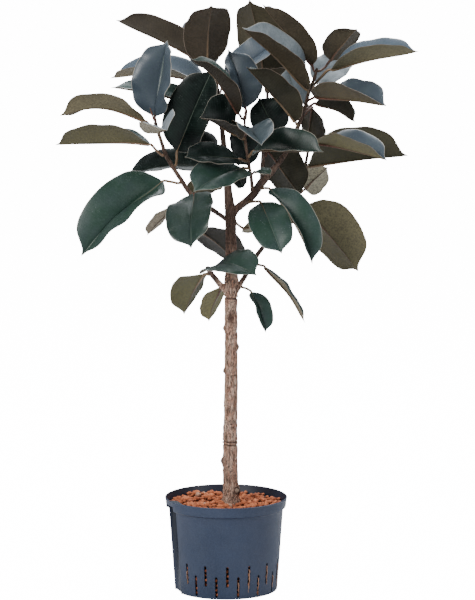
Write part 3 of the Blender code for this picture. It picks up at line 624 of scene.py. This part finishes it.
# Each ring scar: height, depth, darkness.
RINGS = ((0.6045, 0.0024, 1.0), (0.3095, 0.0024, 0.9), (0.3025, 0.0024, 0.9), (0.655, 0.0006, 0.6),
         (0.520, 0.0006, 0.4), (0.447, 0.0006, 0.4), (0.385, 0.0006, 0), (0.253, 0.0006, 0),
         (0.68, 0.0006, 0), (0.715, 0.0006, 0.6), (0.73, 0.0006, 0), (0.78, 0.0006, 0))
STAIN_TURN = 268                               # a dark upright streak high on the old bark
STAIN_Z = 0.568
CUT_PLACE = (0.0225, -0.0185, 0.2085)          # the pale cut face on the burr at the foot
BARK_BROWN = (0.68, 0.385, 0.27, 1)
BARK_PINK = (1.0, 0.70, 0.54, 1)
BARK_FURROW = (0.085, 0.036, 0.023, 1)
BARK_RIDGE = (0.98, 0.74, 0.58, 1)
BARK_DEEP = (0.080, 0.030, 0.018, 1)
BARK_CRACK = (0.036, 0.011, 0.006, 1)
BARK_FOOT_SHADE = (0.075, 0.034, 0.024, 1)
CUT_EDGE = (0.040, 0.016, 0.010, 1)
CUT_WOOD = (0.70, 0.52, 0.40, 1)
BARK_MIDDLING = (0.42, 0.25, 0.18, 1)
BARK_YOUNG_DARK = (0.055, 0.029, 0.019, 1)
BARK_YOUNG = (0.20, 0.122, 0.086, 1)
BARK_SCAR = (0.050, 0.020, 0.013, 1)
BARK_FLECK = (0.42, 0.33, 0.28, 1)


def welded(node):
    """A node's own solid with its doubled corners joined, open for work."""
    work = bmesh.new()
    work.from_mesh(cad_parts[node].data)
    bmesh.ops.remove_doubles(work, verts=work.verts, dist=1e-6)
    return work


def away_from(degrees):
    """Angle round the trunk from a direction, between minus and plus half a turn."""
    return (theta - math.radians(degrees) + math.pi) % (2 * math.pi) - math.pi


rough_wood = bpy.data.objects.new("rough_wood", bpy.data.meshes.new("rough_wood"))
work = welded("trunk_and_branches")
work.to_mesh(rough_wood.data)
work.free()
bpy.context.scene.collection.objects.link(rough_wood)
remesh = rough_wood.modifiers.new("voxel", "REMESH")
remesh.mode = "VOXEL"
remesh.voxel_size = 0.0011
relax = rough_wood.modifiers.new("relax", "SMOOTH")
relax.factor = 0.6
relax.iterations = 9
wood_mesh = evaluated(rough_wood)
n_wood = len(wood_mesh.vertices)
place = np.empty(n_wood * 3)
normal = np.empty(n_wood * 3)
wood_mesh.vertices.foreach_get("co", place)
wood_mesh.vertex_normals.foreach_get("vector", normal)
place = place.reshape(-1, 3)
normal = normal.reshape(-1, 3)
z = place[:, 2]
near_trunk = np.hypot(place[:, 0] - TRUNK_X, place[:, 1] - TRUNK_Y)
theta = np.arctan2(place[:, 1] - TRUNK_Y, place[:, 0] - TRUNK_X)
old = np.clip((0.74 - z) / 0.12, 0, 1) * np.clip((0.034 - near_trunk) / 0.010, 0, 1)
middle_age = np.clip((0.90 - z) / 0.25, 0, 1) * np.clip((0.030 - near_trunk) / 0.010, 0, 1)
middle_age = np.maximum(old, middle_age * 0.7)

height = np.zeros(n_wood)
scarred = np.zeros(n_wood)
for degrees, z0, swelling, wide in KNOTS:
    away2 = (away_from(degrees) * TRUNK_R) ** 2 + (z - z0) ** 2
    height += swelling * 0.55 * np.exp(-away2 / (wide * 0.62) ** 2) * (near_trunk < NEAR)
    scarred += 0.7 * np.exp(-away2 / (wide * 0.8) ** 2) * (near_trunk < NEAR)
for z0, deep, dark in RINGS:
    dz = z - z0 - 0.0015 * np.sin(theta + z0 * 40)
    groove = -deep * np.exp(-(dz / 0.0014) ** 2) + 0.5 * deep * np.exp(-((dz - 0.003) / 0.002) ** 2)
    height += groove * (near_trunk < NEAR)
    scarred += dark * np.exp(-(dz / 0.0017) ** 2) * (near_trunk < NEAR)
scarred += np.exp(-(away_from(STAIN_TURN) * TRUNK_R / 0.0050) ** 2 - ((z - STAIN_Z) / 0.012) ** 2)

fissure = np.zeros(n_wood)
small = np.empty(n_wood)
c, s = np.cos(theta), np.sin(theta)
for i, spot in enumerate(place):
    small[i] = noise.noise(Vector((spot[0] * 210, spot[1] * 210, spot[2] * 150)))
    if old[i] > 0:
        fissure[i] = (noise.noise(Vector((c[i] * 4.6, s[i] * 4.6, spot[2] * 42)))
                      + 0.6 * noise.noise(Vector((c[i] * 10, s[i] * 10, spot[2] * 95 + 7))))
height += (old * (0.0007 + 0.0016 * fissure) + 0.0009 * np.clip((near_trunk - 0.02) / 0.02, 0, 1)
           + 0.00035 * small * (0.4 + 0.6 * middle_age))
flare = np.clip((0.215 - z) / 0.035, 0, 1) ** 2
height += 0.0022 * flare * (0.6 + 0.6 * np.sin(3 * theta + 1.0)) * (near_trunk < 0.04)
place = place + normal * height[:, None]
wood_mesh.vertices.foreach_set("co", place.ravel())
tones = np.stack([old, middle_age, np.clip(0.5 + 0.5 * fissure, 0, 1), np.clip(scarred, 0, 1)], 1)
wood_mesh.attributes.new("bark", "FLOAT_COLOR", "POINT").data.foreach_set("color", tones.ravel())
wood_mesh.update()
shade(wood_mesh, 80)

bark, tree, shader = new_material("fissured_bark", 0.85)
spot = object_place(tree)
old, middle_age, ridge, scarred = painted(tree, "bark")
long_grain = grain(tree, vector_maths(tree, "MULTIPLY", spot, (300.0, 300.0, 62.0)), 1.0, 6.0, 0.68, 0.6)
plates = grain(tree, vector_maths(tree, "MULTIPLY", spot, (150.0, 150.0, 45.0)), 1.0, 3.0, 0.5, 0.3)
flecks = grain(tree, spot, 900.0, 3.0)


def cracks(factors, wide):
    """Narrow wandering lines where a drawn-out noise crosses its middle."""
    wave = grain(tree, vector_maths(tree, "MULTIPLY", spot, factors), 1.0, 3.0, 0.6, 0.9)
    off_middle = maths(tree, "ABSOLUTE", maths(tree, "SUBTRACT", wave, 0.5))
    return ramp(tree, off_middle, wide * 0.35, wide, 1.0, 0.0)


split = maths(tree, "MAXIMUM", cracks((300.0, 300.0, 75.0), 0.042), cracks((620.0, 620.0, 190.0), 0.028))
aged = mix(tree, ramp(tree, plates, 0.36, 0.66), BARK_BROWN, BARK_PINK)
aged = mix(tree, ramp(tree, long_grain, 0.36, 0.42, 0.5, 0.0), aged, BARK_FURROW)
aged = mix(tree, ramp(tree, long_grain, 0.60, 0.74, 0.0, 0.65), aged, BARK_RIDGE)
aged = mix(tree, ramp(tree, ridge, 0.12, 0.38, 0.5, 0.0), aged, BARK_DEEP)
aged = mix(tree, times(tree, split, 0.92), aged, BARK_CRACK)
up = vector_maths(tree, "DOT_PRODUCT", spot, (0.0, 0.0, 1.0))
# painted shade: the bark darkens toward the foot of the trunk
aged = mix(tree, ramp(tree, up, 0.18, 0.25, 0.30, 0.0), aged, BARK_FOOT_SHADE)
cut_far = maths(tree, "MULTIPLY_ADD", plates, 0.010, vector_maths(tree, "DISTANCE", spot, CUT_PLACE))
aged = mix(tree, ramp(tree, cut_far, 0.0115, 0.0155, 0.8, 0.0), aged, CUT_EDGE)
aged = mix(tree, ramp(tree, cut_far, 0.0080, 0.0100, 0.9, 0.0), aged, CUT_WOOD)
middling = mix(tree, ramp(tree, long_grain, 0.35, 0.65), BARK_FURROW, BARK_MIDDLING)
young = mix(tree, ramp(tree, plates, 0.35, 0.65), BARK_YOUNG_DARK, BARK_YOUNG)
skin = mix(tree, middle_age, young, middling)
skin = mix(tree, old, skin, aged)
skin = mix(tree, times(tree, scarred, 0.8), skin, BARK_SCAR)
skin = mix(tree, ramp(tree, flecks, 0.66, 0.74, 0.0, 0.5), skin, BARK_FLECK)
wire(tree, skin, shader, "Base Color")
wire(tree, ramp(tree, middle_age, 0.0, 0.8, 0.48, 0.88), shader, "Roughness")
deep = bump(tree, maths(tree, "MULTIPLY_ADD", split, -0.7, long_grain), 0.9, 0.0022)
wire(tree, bump(tree, flecks, 0.3, 0.0004, deep), shader, "Normal")
mesh_piece("trunk_wood", wood_mesh, "trunk_and_branches", "bark", bark)

# ---------------------------------------------------------------- leaves
# Leathery leaves, each on its own stalk: a waxy dark teal upper side, a dull brown to olive
# underside with a stout red midrib, close side veins, a pale horny margin and a short drip tip.
BLADE_AT = np.array([0.0, 0.05, 0.15, 0.31, 0.50, 0.69, 0.85, 0.95, 1.0])
BLADE_THICK = 0.00055
ROWS = 44
SIDE = np.array([0.0, 0.03, 0.075, 0.15, 0.27, 0.40, 0.53, 0.66, 0.79, 0.89, 0.95, 0.982, 1.0])
ACROSS = np.concatenate([-SIDE[:0:-1], SIDE])
MIDRIB = len(SIDE) - 1                         # the middle of ACROSS
WIDEST = 18                                    # a row near the blade's widest place
RIB_SIDES = 10
STALK_R = 0.0027
STALK_ROWS = 14
VEIN_STEP = 0.0052
VEIN_SLANT = 0.42
SHADE_NEAR_BLACK = (0.0015, 0.004, 0.0035, 1)
DEEP_GREEN = (0.022, 0.058, 0.040, 1)
TEAL_AND_SHEEN = (0.056, 0.074, 0.098, 1)
SLATE_REFLECTION = (0.098, 0.132, 0.178, 1)
SKY_SHEEN = (0.36, 0.41, 0.44, 1)
CLOUD_DEEP = (0.010, 0.026, 0.018, 1)
CLOUD_PALE = (0.060, 0.085, 0.115, 1)
MOTTLE = (0.060, 0.100, 0.088, 1)
UPPER_VEIN = (0.060, 0.105, 0.095, 1)
LEAF_DUST = (0.24, 0.29, 0.29, 1)
UPPER_RIB = (0.11, 0.15, 0.115, 1)
UPPER_MARGIN = (0.46, 0.43, 0.37, 1)
# The underside's browns and olives, from the shaded to the lit one.
BROWNS = ((0.012, 0.008, 0.005, 1), (0.062, 0.043, 0.029, 1), (0.30, 0.24, 0.175, 1), (0.55, 0.49, 0.40, 1))
OLIVES = ((0.010, 0.011, 0.004, 1), (0.076, 0.074, 0.024, 1), (0.29, 0.275, 0.125, 1), (0.50, 0.47, 0.33, 1))
UNDER_GLOW = (0.060, 0.050, 0.028, 1)
UNDER_PORE = (0.020, 0.014, 0.009, 1)
UNDER_VEIN = (0.15, 0.12, 0.08, 1)
UNDER_MARGIN = (0.40, 0.31, 0.25, 1)
STALK_DARK = (0.060, 0.024, 0.017, 1)
STALK_RED = (0.15, 0.070, 0.048, 1)
STALK_OLIVE = (0.20, 0.13, 0.075, 1)
RIB_BROWN = (0.115, 0.080, 0.050, 1)


def solid_rings(node):
    """Corner rings of a leaf's solid from the foot of its stalk, its foot point and its tip."""
    work = welded(node)
    work.verts.index_update()
    found = []
    for start in work.verts:
        if len(start.link_edges) != 8:
            continue
        layers, seen = [[start]], {start}
        while layers[-1]:
            after = {e.other_vert(v) for v in layers[-1] for e in v.link_edges} - seen
            seen |= after
            layers.append(sorted(after, key=lambda v: v.index))
        layers.pop()
        if [len(layer) for layer in layers] == [1] + [8] * 10 + [1]:
            size = sum((v.co - start.co).length for v in layers[1])
            found.append((size, start.index, layers))
    layers = min(found, key=lambda f: f[:2])[2]
    rings = []
    for layer in layers[1:-1]:
        walk = [layer[0]]
        while len(walk) < 8:
            walk.append(min((e.other_vert(walk[-1]) for e in walk[-1].link_edges
                             if e.other_vert(walk[-1]) in layer and e.other_vert(walk[-1]) not in walk),
                            key=lambda v: v.index))
        rings.append(np.array([v.co for v in walk]))
    foot, tip = np.array(layers[0][0].co), np.array(layers[-1][0].co)
    work.free()
    return rings, foot, tip


def unit(v):
    return v / np.maximum(np.linalg.norm(v, axis=-1, keepdims=True), 1e-12)


def rails(node):
    """Margins, half middles and midrib of a blade at BLADE_AT, as rail x station x xyz, and the stalk."""
    rings, foot, tip = solid_rings(node)
    out = []
    for i in range(2, 10):
        ring = rings[i]
        spans = [np.linalg.norm(ring[k] - ring[k + 4]) for k in range(4)]
        ring = np.roll(ring, -int(np.argmax(spans)), axis=0)
        up = unit((ring[0] + ring[4]) / 2 - (ring[2] + ring[6]) / 2)
        if (ring[2] - ring[6]) @ up < 0:
            ring = ring[[0, 7, 6, 5, 4, 3, 2, 1]]
        ahead = (tip if i == 9 else rings[i + 1].mean(0)) - ring.mean(0)
        if (ring[4] - ring[0]) @ np.cross(ahead, up) < 0:
            ring = ring[[4, 3, 2, 1, 0, 7, 6, 5]]
        halves = (ring[1] + ring[7]) / 2, (ring[3] + ring[5]) / 2
        out.append([ring[0], halves[0], ring[2] - up * 0.0006, halves[1], ring[4]])
    out.append([tip] * 5)
    stalk = [foot] + [rings[i].mean(0) for i in (0, 1)]
    return np.array(out).transpose(1, 0, 2), np.array(stalk)


def smooth_rail(rail, at, want):
    """Cubic through uneven stations."""
    slope = np.gradient(rail, at, axis=0)
    k = np.clip(np.searchsorted(at, want, side="right") - 1, 0, len(at) - 2)
    h = (at[k + 1] - at[k])[:, None]
    t = ((want - at[k]) / (at[k + 1] - at[k]))[:, None]
    return ((2 * t ** 3 - 3 * t ** 2 + 1) * rail[k] + (t ** 3 - 2 * t ** 2 + t) * h * slope[k]
            + (3 * t ** 2 - 2 * t ** 3) * rail[k + 1] + (t ** 3 - t ** 2) * h * slope[k + 1])


def fine_leaf(name, seed, upper, under, olive, wave=1.0, curl=0.0):
    """Builds one leaf over its solid. upper and under are the painted light and shade of its upper side and
    underside, olive its tint; wave and curl bend it.
    """
    rail, stalk = rails(name)
    k = np.linspace(0, 1, ROWS)
    along = 0.45 * k + 0.55 * (1 - np.cos(math.pi * k)) / 2
    lines = np.array([smooth_rail(r, BLADE_AT, along) for r in rail])
    s = np.abs(ACROSS)[None, :, None]
    left = (ACROSS < 0)[None, :, None]
    middle = np.where(left, lines[1][:, None], lines[3][:, None])
    edge = np.where(left, lines[0][:, None], lines[4][:, None])
    centre = np.broadcast_to(lines[2][:, None], edge.shape)
    grid = centre * (1 - s) * (1 - 2 * s) + middle * 4 * s * (1 - s) + edge * s * (2 * s - 1)
    # The last tenth narrows into the drip tip.
    pinch = 1 - 0.55 * np.clip((along - 0.86) / 0.09, 0, 1) ** 1.5 * np.clip((1.02 - along) / 0.04, 0, 1)
    grid = centre + (grid - centre) * pinch[:, None, None]
    length = np.linalg.norm(np.diff(lines[2], axis=0), axis=1).sum()
    half = 0.5 * np.linalg.norm(lines[4] - lines[0], axis=1)
    rows = unit(np.gradient(grid, axis=0))
    columns = unit(np.gradient(grid, axis=1))
    normal = unit(np.cross(columns, rows))
    up_side = np.cross(lines[4][WIDEST] - lines[0][WIDEST], lines[2][WIDEST + 4] - lines[2][WIDEST - 4])
    if normal[WIDEST, MIDRIB] @ up_side < 0:
        normal = -normal
    local = np.random.default_rng(seed)
    phase = local.uniform(0, 6.28, 6)
    a = along[:, None]
    u = ACROSS[None, :]
    size = min(1.0, half.max() / 0.04)
    # Waves along the margin, a slow swell, the quilting between veins, a rolled lip and the furrow.
    ripple = 0.0016 * np.abs(u) ** 2.2 * np.where(
        u < 0, np.sin(a * 15 + phase[0]) + 0.5 * np.sin(a * 27 + phase[1]),
        np.sin(a * 14 + phase[2]) + 0.5 * np.sin(a * 25 + phase[3]))
    swell = 0.0015 * np.sin(a * 7 + phase[4]) * np.cos(u * 2.5 + phase[5]) * (1 - np.abs(u) ** 4)
    quilt = (0.00007 * np.sin((a * length - np.abs(u) * half[:, None] * VEIN_SLANT) / VEIN_STEP * 6.283)
             * np.clip(np.abs(u) * 5, 0, 1) * np.clip((1 - np.abs(u)) * 6, 0, 1))
    lip = -0.0007 * np.clip((np.abs(u) - 0.88) / 0.12, 0, 1) ** 2
    furrow = -0.0007 * np.exp(-(u * half[:, None] / 0.0016) ** 2)
    fade = np.clip(a * 8, 0, 1) * np.clip((1 - a) * 5, 0, 1)
    lift = ((ripple + swell) * wave * size + quilt + lip) * fade + furrow * np.clip((0.97 - a) * 8, 0, 1)
    grid = grid + normal * lift[:, :, None]
    bend = curl * np.clip((along - 0.80) / 0.20, 0, 1) ** 2
    grid = grid + normal[:, MIDRIB:MIDRIB + 1] * (bend[:, None, None] * np.ones((1, len(ACROSS), 1)))
    thin = BLADE_THICK / 2 * (1 - 0.45 * np.abs(u) ** 3) * np.clip(half[:, None] / 0.004, 0.25, 1)
    top = grid + normal * thin[:, :, None]
    low = grid - normal * thin[:, :, None]
    n_u = len(ACROSS)
    verts = np.vstack([top.reshape(-1, 3), low.reshape(-1, 3)])
    index = np.arange(ROWS * n_u).reshape(ROWS, n_u)
    other = index + ROWS * n_u
    faces, kinds = [], []

    def sheet(corners, flip, kind):
        quads = np.stack(corners, -1).reshape(-1, 4)
        faces.extend((quads[:, ::-1] if flip else quads).tolist())
        kinds.extend([kind] * len(quads))

    sheet([index[:-1, :-1], index[:-1, 1:], index[1:, 1:], index[1:, :-1]], False, 0)
    sheet([other[:-1, :-1], other[1:, :-1], other[1:, 1:], other[:-1, 1:]], False, 1)
    for column, flip in ((0, True), (n_u - 1, False)):
        sheet([index[:-1, column], other[:-1, column], other[1:, column], index[1:, column]], flip, 1)
    for row, flip in ((0, False), (ROWS - 1, True)):
        sheet([index[row, :-1], other[row, :-1], other[row, 1:], index[row, 1:]], flip, 1)
    # For each point: nearness to the margin and to the midrib, and the way along and across.
    data = np.zeros((ROWS, n_u, 4))
    data[:, :, 0] = np.clip((1 - np.abs(u)) * half[:, None] / 0.01, 0, 1)
    data[:, :, 1] = np.clip(np.abs(u) * half[:, None] / 0.01, 0, 1)
    data[:, :, 2] = a * length / 0.3
    data[:, :, 3] = np.abs(u) * half[:, None] / 0.1
    data = np.vstack([data.reshape(-1, 4)] * 2)

    # The stalk runs on under the blade as its raised midrib.
    rib_rows = np.arange(1, ROWS - 4)
    rib_r = 0.0023 * (1 - 0.86 * along[rib_rows] ** 0.8)
    rib = low[rib_rows, MIDRIB] - normal[rib_rows, MIDRIB] * (0.7 * rib_r * (0.75 + 0.25 * size))[:, None]
    path = np.vstack([stalk[0], stalk[1] + (stalk[1] - stalk[0]) * 0.5, stalk[2], low[0, MIDRIB], rib])
    gap = np.concatenate([[0], np.cumsum(np.linalg.norm(np.diff(path, axis=0), axis=1))])
    want = np.concatenate([np.linspace(0, gap[3], STALK_ROWS), gap[4:]])
    path = smooth_rail(path, gap, want)
    share = np.clip((want - gap[3]) / (gap[-1] - gap[3]), 0, 1)
    before = np.clip(want / gap[3], 0, 1)
    radius = STALK_R * (1 - 0.86 * share ** 0.8) * (0.75 + 0.25 * size)
    radius = radius * (1 + 0.25 * np.exp(-(before / 0.08) ** 2))
    tangent = unit(np.gradient(path, axis=0))
    upright = normal[0, MIDRIB]
    ring_v = []
    for i in range(len(path)):
        upright = unit(upright - tangent[i] * (upright @ tangent[i]))
        side = np.cross(tangent[i], upright)
        for j in range(RIB_SIDES):
            t = 2 * math.pi * j / RIB_SIDES
            ring_v.append(path[i] + (upright * math.cos(t) + side * math.sin(t)) * radius[i])
    base = len(verts)
    foot = base + len(ring_v)
    last = foot - RIB_SIDES
    ring_v += [path[0] - tangent[0] * radius[0] * 0.2, path[-1] + tangent[-1] * radius[-1]]
    faces += [[base + v for v in face] for face in ring_faces(len(path), RIB_SIDES)[2:]]
    for j in range(RIB_SIDES):
        m = (j + 1) % RIB_SIDES
        faces.append([foot, base + m, base + j])
        faces.append([foot + 1, last + j, last + m])
    kinds.extend([2] * (len(faces) - len(kinds)))
    tube_data = np.zeros((len(ring_v), 4))
    tube_data[:-2, 0] = np.repeat(share, RIB_SIDES)
    tube_data[-1, 0] = 1
    verts = np.vstack([verts, np.array(ring_v)])
    mesh = bpy.data.meshes.new(name + "_blade")
    mesh.from_pydata(verts.tolist(), [], faces)
    mesh.polygons.foreach_set("material_index", kinds)
    shades = np.tile([upper, under, olive, local.random()], (len(verts), 1))
    for label, values in (("blade", np.vstack([data, tube_data])), ("shade", shades)):
        mesh.attributes.new(label, "FLOAT_COLOR", "POINT").data.foreach_set("color", values.ravel())
    mesh.polygons.foreach_set("use_smooth", [True] * len(mesh.polygons))
    mesh.update()
    return mesh


# Side veins leave the midrib forward, evenly and close together.
vein_group, vein_in, vein_out = new_group(
    "side_veins", [("Spacing", VEIN_STEP), ("Width", 0.3)], ["Veins", "Midrib", "Margin"])
tree = vein_group
from_margin, from_midrib, way_along, way_across = painted(tree, "blade")
metres_along = times(tree, way_along, 0.3)
metres_across = times(tree, way_across, 0.1)
wander = times(tree, grain(tree, object_place(tree), 40.0, 2.0), 0.0022)
slant = maths(tree, "MULTIPLY_ADD", metres_across, -VEIN_SLANT, metres_along)
slant = maths(tree, "ADD", slant, wander)
turns = maths(tree, "DIVIDE", slant, vein_in.outputs["Spacing"])
saw = maths(tree, "PINGPONG", turns, 0.5)
vein_half = times(tree, vein_in.outputs["Width"], 0.5)
wire(tree, ramp(tree, saw, 0.0, vein_half, 1.0, 0.0), vein_out, "Veins")
wire(tree, ramp(tree, from_midrib, 0.04, 0.12, 1.0, 0.0), vein_out, "Midrib")
wire(tree, ramp(tree, from_margin, 0.05, 0.13, 1.0, 0.0), vein_out, "Margin")


waxy, tree, shader = new_material("waxy_upper_side", 0.34)
shade_to_sheen, _, _, _ = painted(tree, "shade")
spot = object_place(tree)
veins = group_node(tree, vein_group, Width=0.30)
cloud = grain(tree, spot, 26.0, 4.0, 0.6)
mottle = grain(tree, spot, 260.0, 4.0, 0.6)
# The upper colour is painted light: near-black painted shade, the leaf's own green, then teal and pale slate
# as painted sky reflection.
deep = mix(tree, ramp(tree, shade_to_sheen, 0.0, 0.5), SHADE_NEAR_BLACK, DEEP_GREEN)
for low, high, color in ((0.52, 0.78, TEAL_AND_SHEEN), (0.78, 1.0, SLATE_REFLECTION), (1.0, 1.6, SKY_SHEEN)):
    deep = mix(tree, ramp(tree, shade_to_sheen, low, high), deep, color)
clouded = mix(tree, shade_to_sheen, CLOUD_DEEP, CLOUD_PALE)
deep = mix(tree, ramp(tree, cloud, 0.35, 0.7, 0.0, 0.45), deep, clouded)
mottled = ramp(tree, mottle, 0.45, 0.72, 0.0, 0.32)
mottled = times(tree, mottled, ramp(tree, shade_to_sheen, 0.0, 0.4, 0.15, 1.0))
deep = mix(tree, mottled, deep, MOTTLE)
deep = mix(tree, times(tree, veins.outputs["Veins"], 0.12), deep, UPPER_VEIN)
leaf_dust = group_node(tree, dust_group, Scale=250.0, Specks=0.80, Film=0.07)
deep = mix(tree, leaf_dust.outputs["Mask"], deep, LEAF_DUST)
deep = mix(tree, times(tree, veins.outputs["Midrib"], 0.45), deep, UPPER_RIB)
deep = mix(tree, times(tree, veins.outputs["Margin"], 0.8), deep, UPPER_MARGIN)
wire(tree, deep, shader, "Base Color")
rough = ramp(tree, cloud, 0.3, 0.7, 0.30, 0.44)
shader.inputs["Specular IOR Level"].default_value = 0.5
wire(tree, maths(tree, "MULTIPLY_ADD", leaf_dust.outputs["Mask"], 0.35, rough), shader, "Roughness")
relief = bump(tree, veins.outputs["Veins"], 0.15, 0.0005)
wire(tree, bump(tree, mottle, 0.22, 0.0006, relief), shader, "Normal")

# For the leaves in the shade of the crown, a copy with weaker specular: painted shade that dims their
# reflections.
shaded_waxy = waxy.copy()
shaded_waxy.name = "waxy_shaded_side"
shaded_waxy.node_tree.nodes["Principled BSDF"].inputs["Specular IOR Level"].default_value = 0.24

dull, tree, shader = new_material("dull_underside", 0.62)
_, painted_under_light, olive, _ = painted(tree, "shade")
spot = object_place(tree)
veins = group_node(tree, vein_group, Width=0.34)
cloud = grain(tree, spot, 22.0, 4.0, 0.6)
mottle = grain(tree, spot, 300.0, 4.0, 0.6)
# each leaf's underside lightness is painted light and shade, from the shaded to the lit colour
brown, green = BROWNS[0], OLIVES[0]
for low, high, browner, greener in zip((0.0, 0.5, 1.0), (0.5, 1.0, 1.6), BROWNS[1:], OLIVES[1:]):
    brown = mix(tree, ramp(tree, painted_under_light, low, high), brown, browner)
    green = mix(tree, ramp(tree, painted_under_light, low, high), green, greener)
skin = mix(tree, olive, brown, green)
skin = mix(tree, ramp(tree, cloud, 0.35, 0.7, 0.0, 0.25), skin, UNDER_GLOW, "ADD")
skin = mix(tree, ramp(tree, mottle, 0.36, 0.60, 0.45, 0.0), skin, UNDER_PORE)
skin = mix(tree, times(tree, veins.outputs["Veins"], 0.07), skin, UNDER_VEIN)
skin = mix(tree, times(tree, veins.outputs["Margin"], 0.6), skin, UNDER_MARGIN)
wire(tree, skin, shader, "Base Color")
wire(tree, ramp(tree, mottle, 0.3, 0.7, 0.52, 0.70), shader, "Roughness")
relief = bump(tree, veins.outputs["Veins"], 0.12, 0.0005)
wire(tree, bump(tree, mottle, 0.25, 0.0005, relief), shader, "Normal")

stalk_skin, tree, shader = new_material("red_stalk", 0.45)
_, _, _, own = painted(tree, "shade")
under_blade, _, _, _ = painted(tree, "blade")
spot = object_place(tree)
streak = grain(tree, spot, 240.0, 3.0)
red = mix(tree, ramp(tree, streak, 0.3, 0.7), STALK_DARK, STALK_RED)
red = mix(tree, ramp(tree, own, 0.45, 0.75), red, STALK_OLIVE)
red = mix(tree, ramp(tree, under_blade, 0.10, 0.60), red, RIB_BROWN)
wire(tree, red, shader, "Base Color")
wire(tree, bump(tree, streak, 0.3, 0.0005), shader, "Normal")

# Shades of each leaf: the painted sheen and shade of the upper side (0 near-black green in painted
# shade, 1 pale slate painted reflection), painted lightness of the underside, how olive it is; then how
# wavy the blade is and how far its tip curls.
LEAF_LOOKS = {
    "top_1": (0.5, 0.22, 0.15), "top_2": (0.5, 0.38, 0.10), "top_3": (1.15, 0.4, 0.3),
    "top_4": (1.08, 0.82, 0.3), "top_5": (0.6, 0.6, 0.4), "top_6": (0.97, 0.4, 0.3),
    "top_7": (0.05, 0.2, 0.5), "top_8": (0.1, 0.2, 0.8), "top_9": (0.3, 0.55, 0.7),
    "top_10": (0, 0.2, 0.5), "top_11": (0, 0.2, 0.5),
    "left_1": (0.8, 0.5, 0.5, 2.2), "left_2": (0.85, 0.7, 0.45, 1.2, 0.004), "left_3": (0.6, 0.58, 0.7),
    "left_4": (1.45, 1.35, 0.3), "left_5": (0.02, 0.4, 0.5, 0.6), "left_6": (0.42, 0.5, 0.6, 1.8),
    "left_7": (0.27, 0.5, 0.4, 1.8), "left_8": (0.6, 1.25, 0.2), "left_9": (0.2, 0.02, 0.8),
    "middle_1": (0.35, 0.08, 0.2), "middle_2": (0.78, 0.4, 0.4, 1.8), "middle_3": (0, 0.14, 0.2),
    "middle_4": (0.7, 0.6, 0.4), "middle_5": (0.24, 0.6, 0.4), "middle_6": (0.47, 0.5, 0.5),
    "middle_7": (0.1, 0.4, 0.5), "middle_8": (0.3, 0.4, 0.5),
    "back_1": (0.4, 0.32, 0.45), "back_2": (0.2, 0.12, 0.95), "back_3": (0, 0.2, 0.5),
    "right_1": (0.9, 0.46, 0.2), "right_2": (1.4, 0.33, 0.2, 0.8), "right_3": (0.3, 0.1, 0.75),
    "right_4": (0.6, 0.18, 0.4), "right_5": (1.3, 0.4, 0.4), "right_6": (0.6, 0.52, 0.25),
    "right_7": (1, 0.72, 0.55, 0.8), "right_8": (1.45, 0.5, 0.4), "right_9": (0.8, 0.58, 0.3),
    "right_10": (0.3, 0.12, 0.5), "right_11": (0.3, 0.25, 0.4), "right_12": (0.54, 0.85, 0.5),
    "right_13": (0.5, 0.5, 0.5),
    "low_right_1": (0.84, 0.68, 0.7), "low_right_2": (0.7, 0.24, 0.85), "low_right_3": (0.6, 1.45, 0.6),
    "low_right_4": (0.5, 0.68, 0.65), "low_right_5": (0.4, 1.05, 0.4), "low_right_6": (0.56, 0.6, 0.5),
    "low_left_1": (0.36, 0.5, 0.5), "low_left_2": (0.4, 0.64, 0.95), "low_left_3": (0.4, 0.8, 0.9),
    "low_left_4": (0.5, 0.9, 0.5),
}
for seed, (name, looks) in enumerate(LEAF_LOOKS.items()):
    node = "leaf_" + name
    upper_side = waxy if looks[0] > 0.15 else shaded_waxy
    leaf_mesh = fine_leaf(node, seed, *looks)
    mesh_piece(node + "_grown", leaf_mesh, node, "leaf_blade", upper_side, dull, stalk_skin)

# ---------------------------------------------------------------- buds
# The rolled-up next leaf at the end of two shoots, a slim pointed cone wrapped in a glossy
# brown-red sheath with olive patches.
SHEATH_DARK = (0.10, 0.028, 0.020, 1)
SHEATH_RED = (0.24, 0.10, 0.06, 1)
SHEATH_OLIVE = (0.22, 0.17, 0.08, 1)

bud_skin, tree, shader = new_material("bud_sheath_skin", 0.38)
spot = object_place(tree)
streak = grain(tree, vector_maths(tree, "MULTIPLY", spot, (420.0, 420.0, 60.0)), 1.0, 4.0, 0.6)
sheath = mix(tree, ramp(tree, streak, 0.32, 0.68), SHEATH_DARK, SHEATH_RED)
sheath = mix(tree, ramp(tree, grain(tree, spot, 90.0, 3.0), 0.5, 0.75, 0.0, 0.6), sheath, SHEATH_OLIVE)
wire(tree, sheath, shader, "Base Color")
wire(tree, ramp(tree, streak, 0.3, 0.7, 0.32, 0.46), shader, "Roughness")
wire(tree, bump(tree, streak, 0.35, 0.0005), shader, "Normal")
for node in ("bud_left", "bud_middle"):
    rolled = bpy.data.objects.new("rolled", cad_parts[node].data.copy())
    bpy.context.scene.collection.objects.link(rolled)
    weld = rolled.modifiers.new("weld", "WELD")
    weld.merge_threshold = 1e-6
    rounder = rolled.modifiers.new("rounder", "SUBSURF")
    rounder.levels = 2
    bud_mesh = evaluated(rolled)
    shade(bud_mesh, 70)
    mesh_piece(node + "_sheath", bud_mesh, node, "bud_sheath", bud_skin)
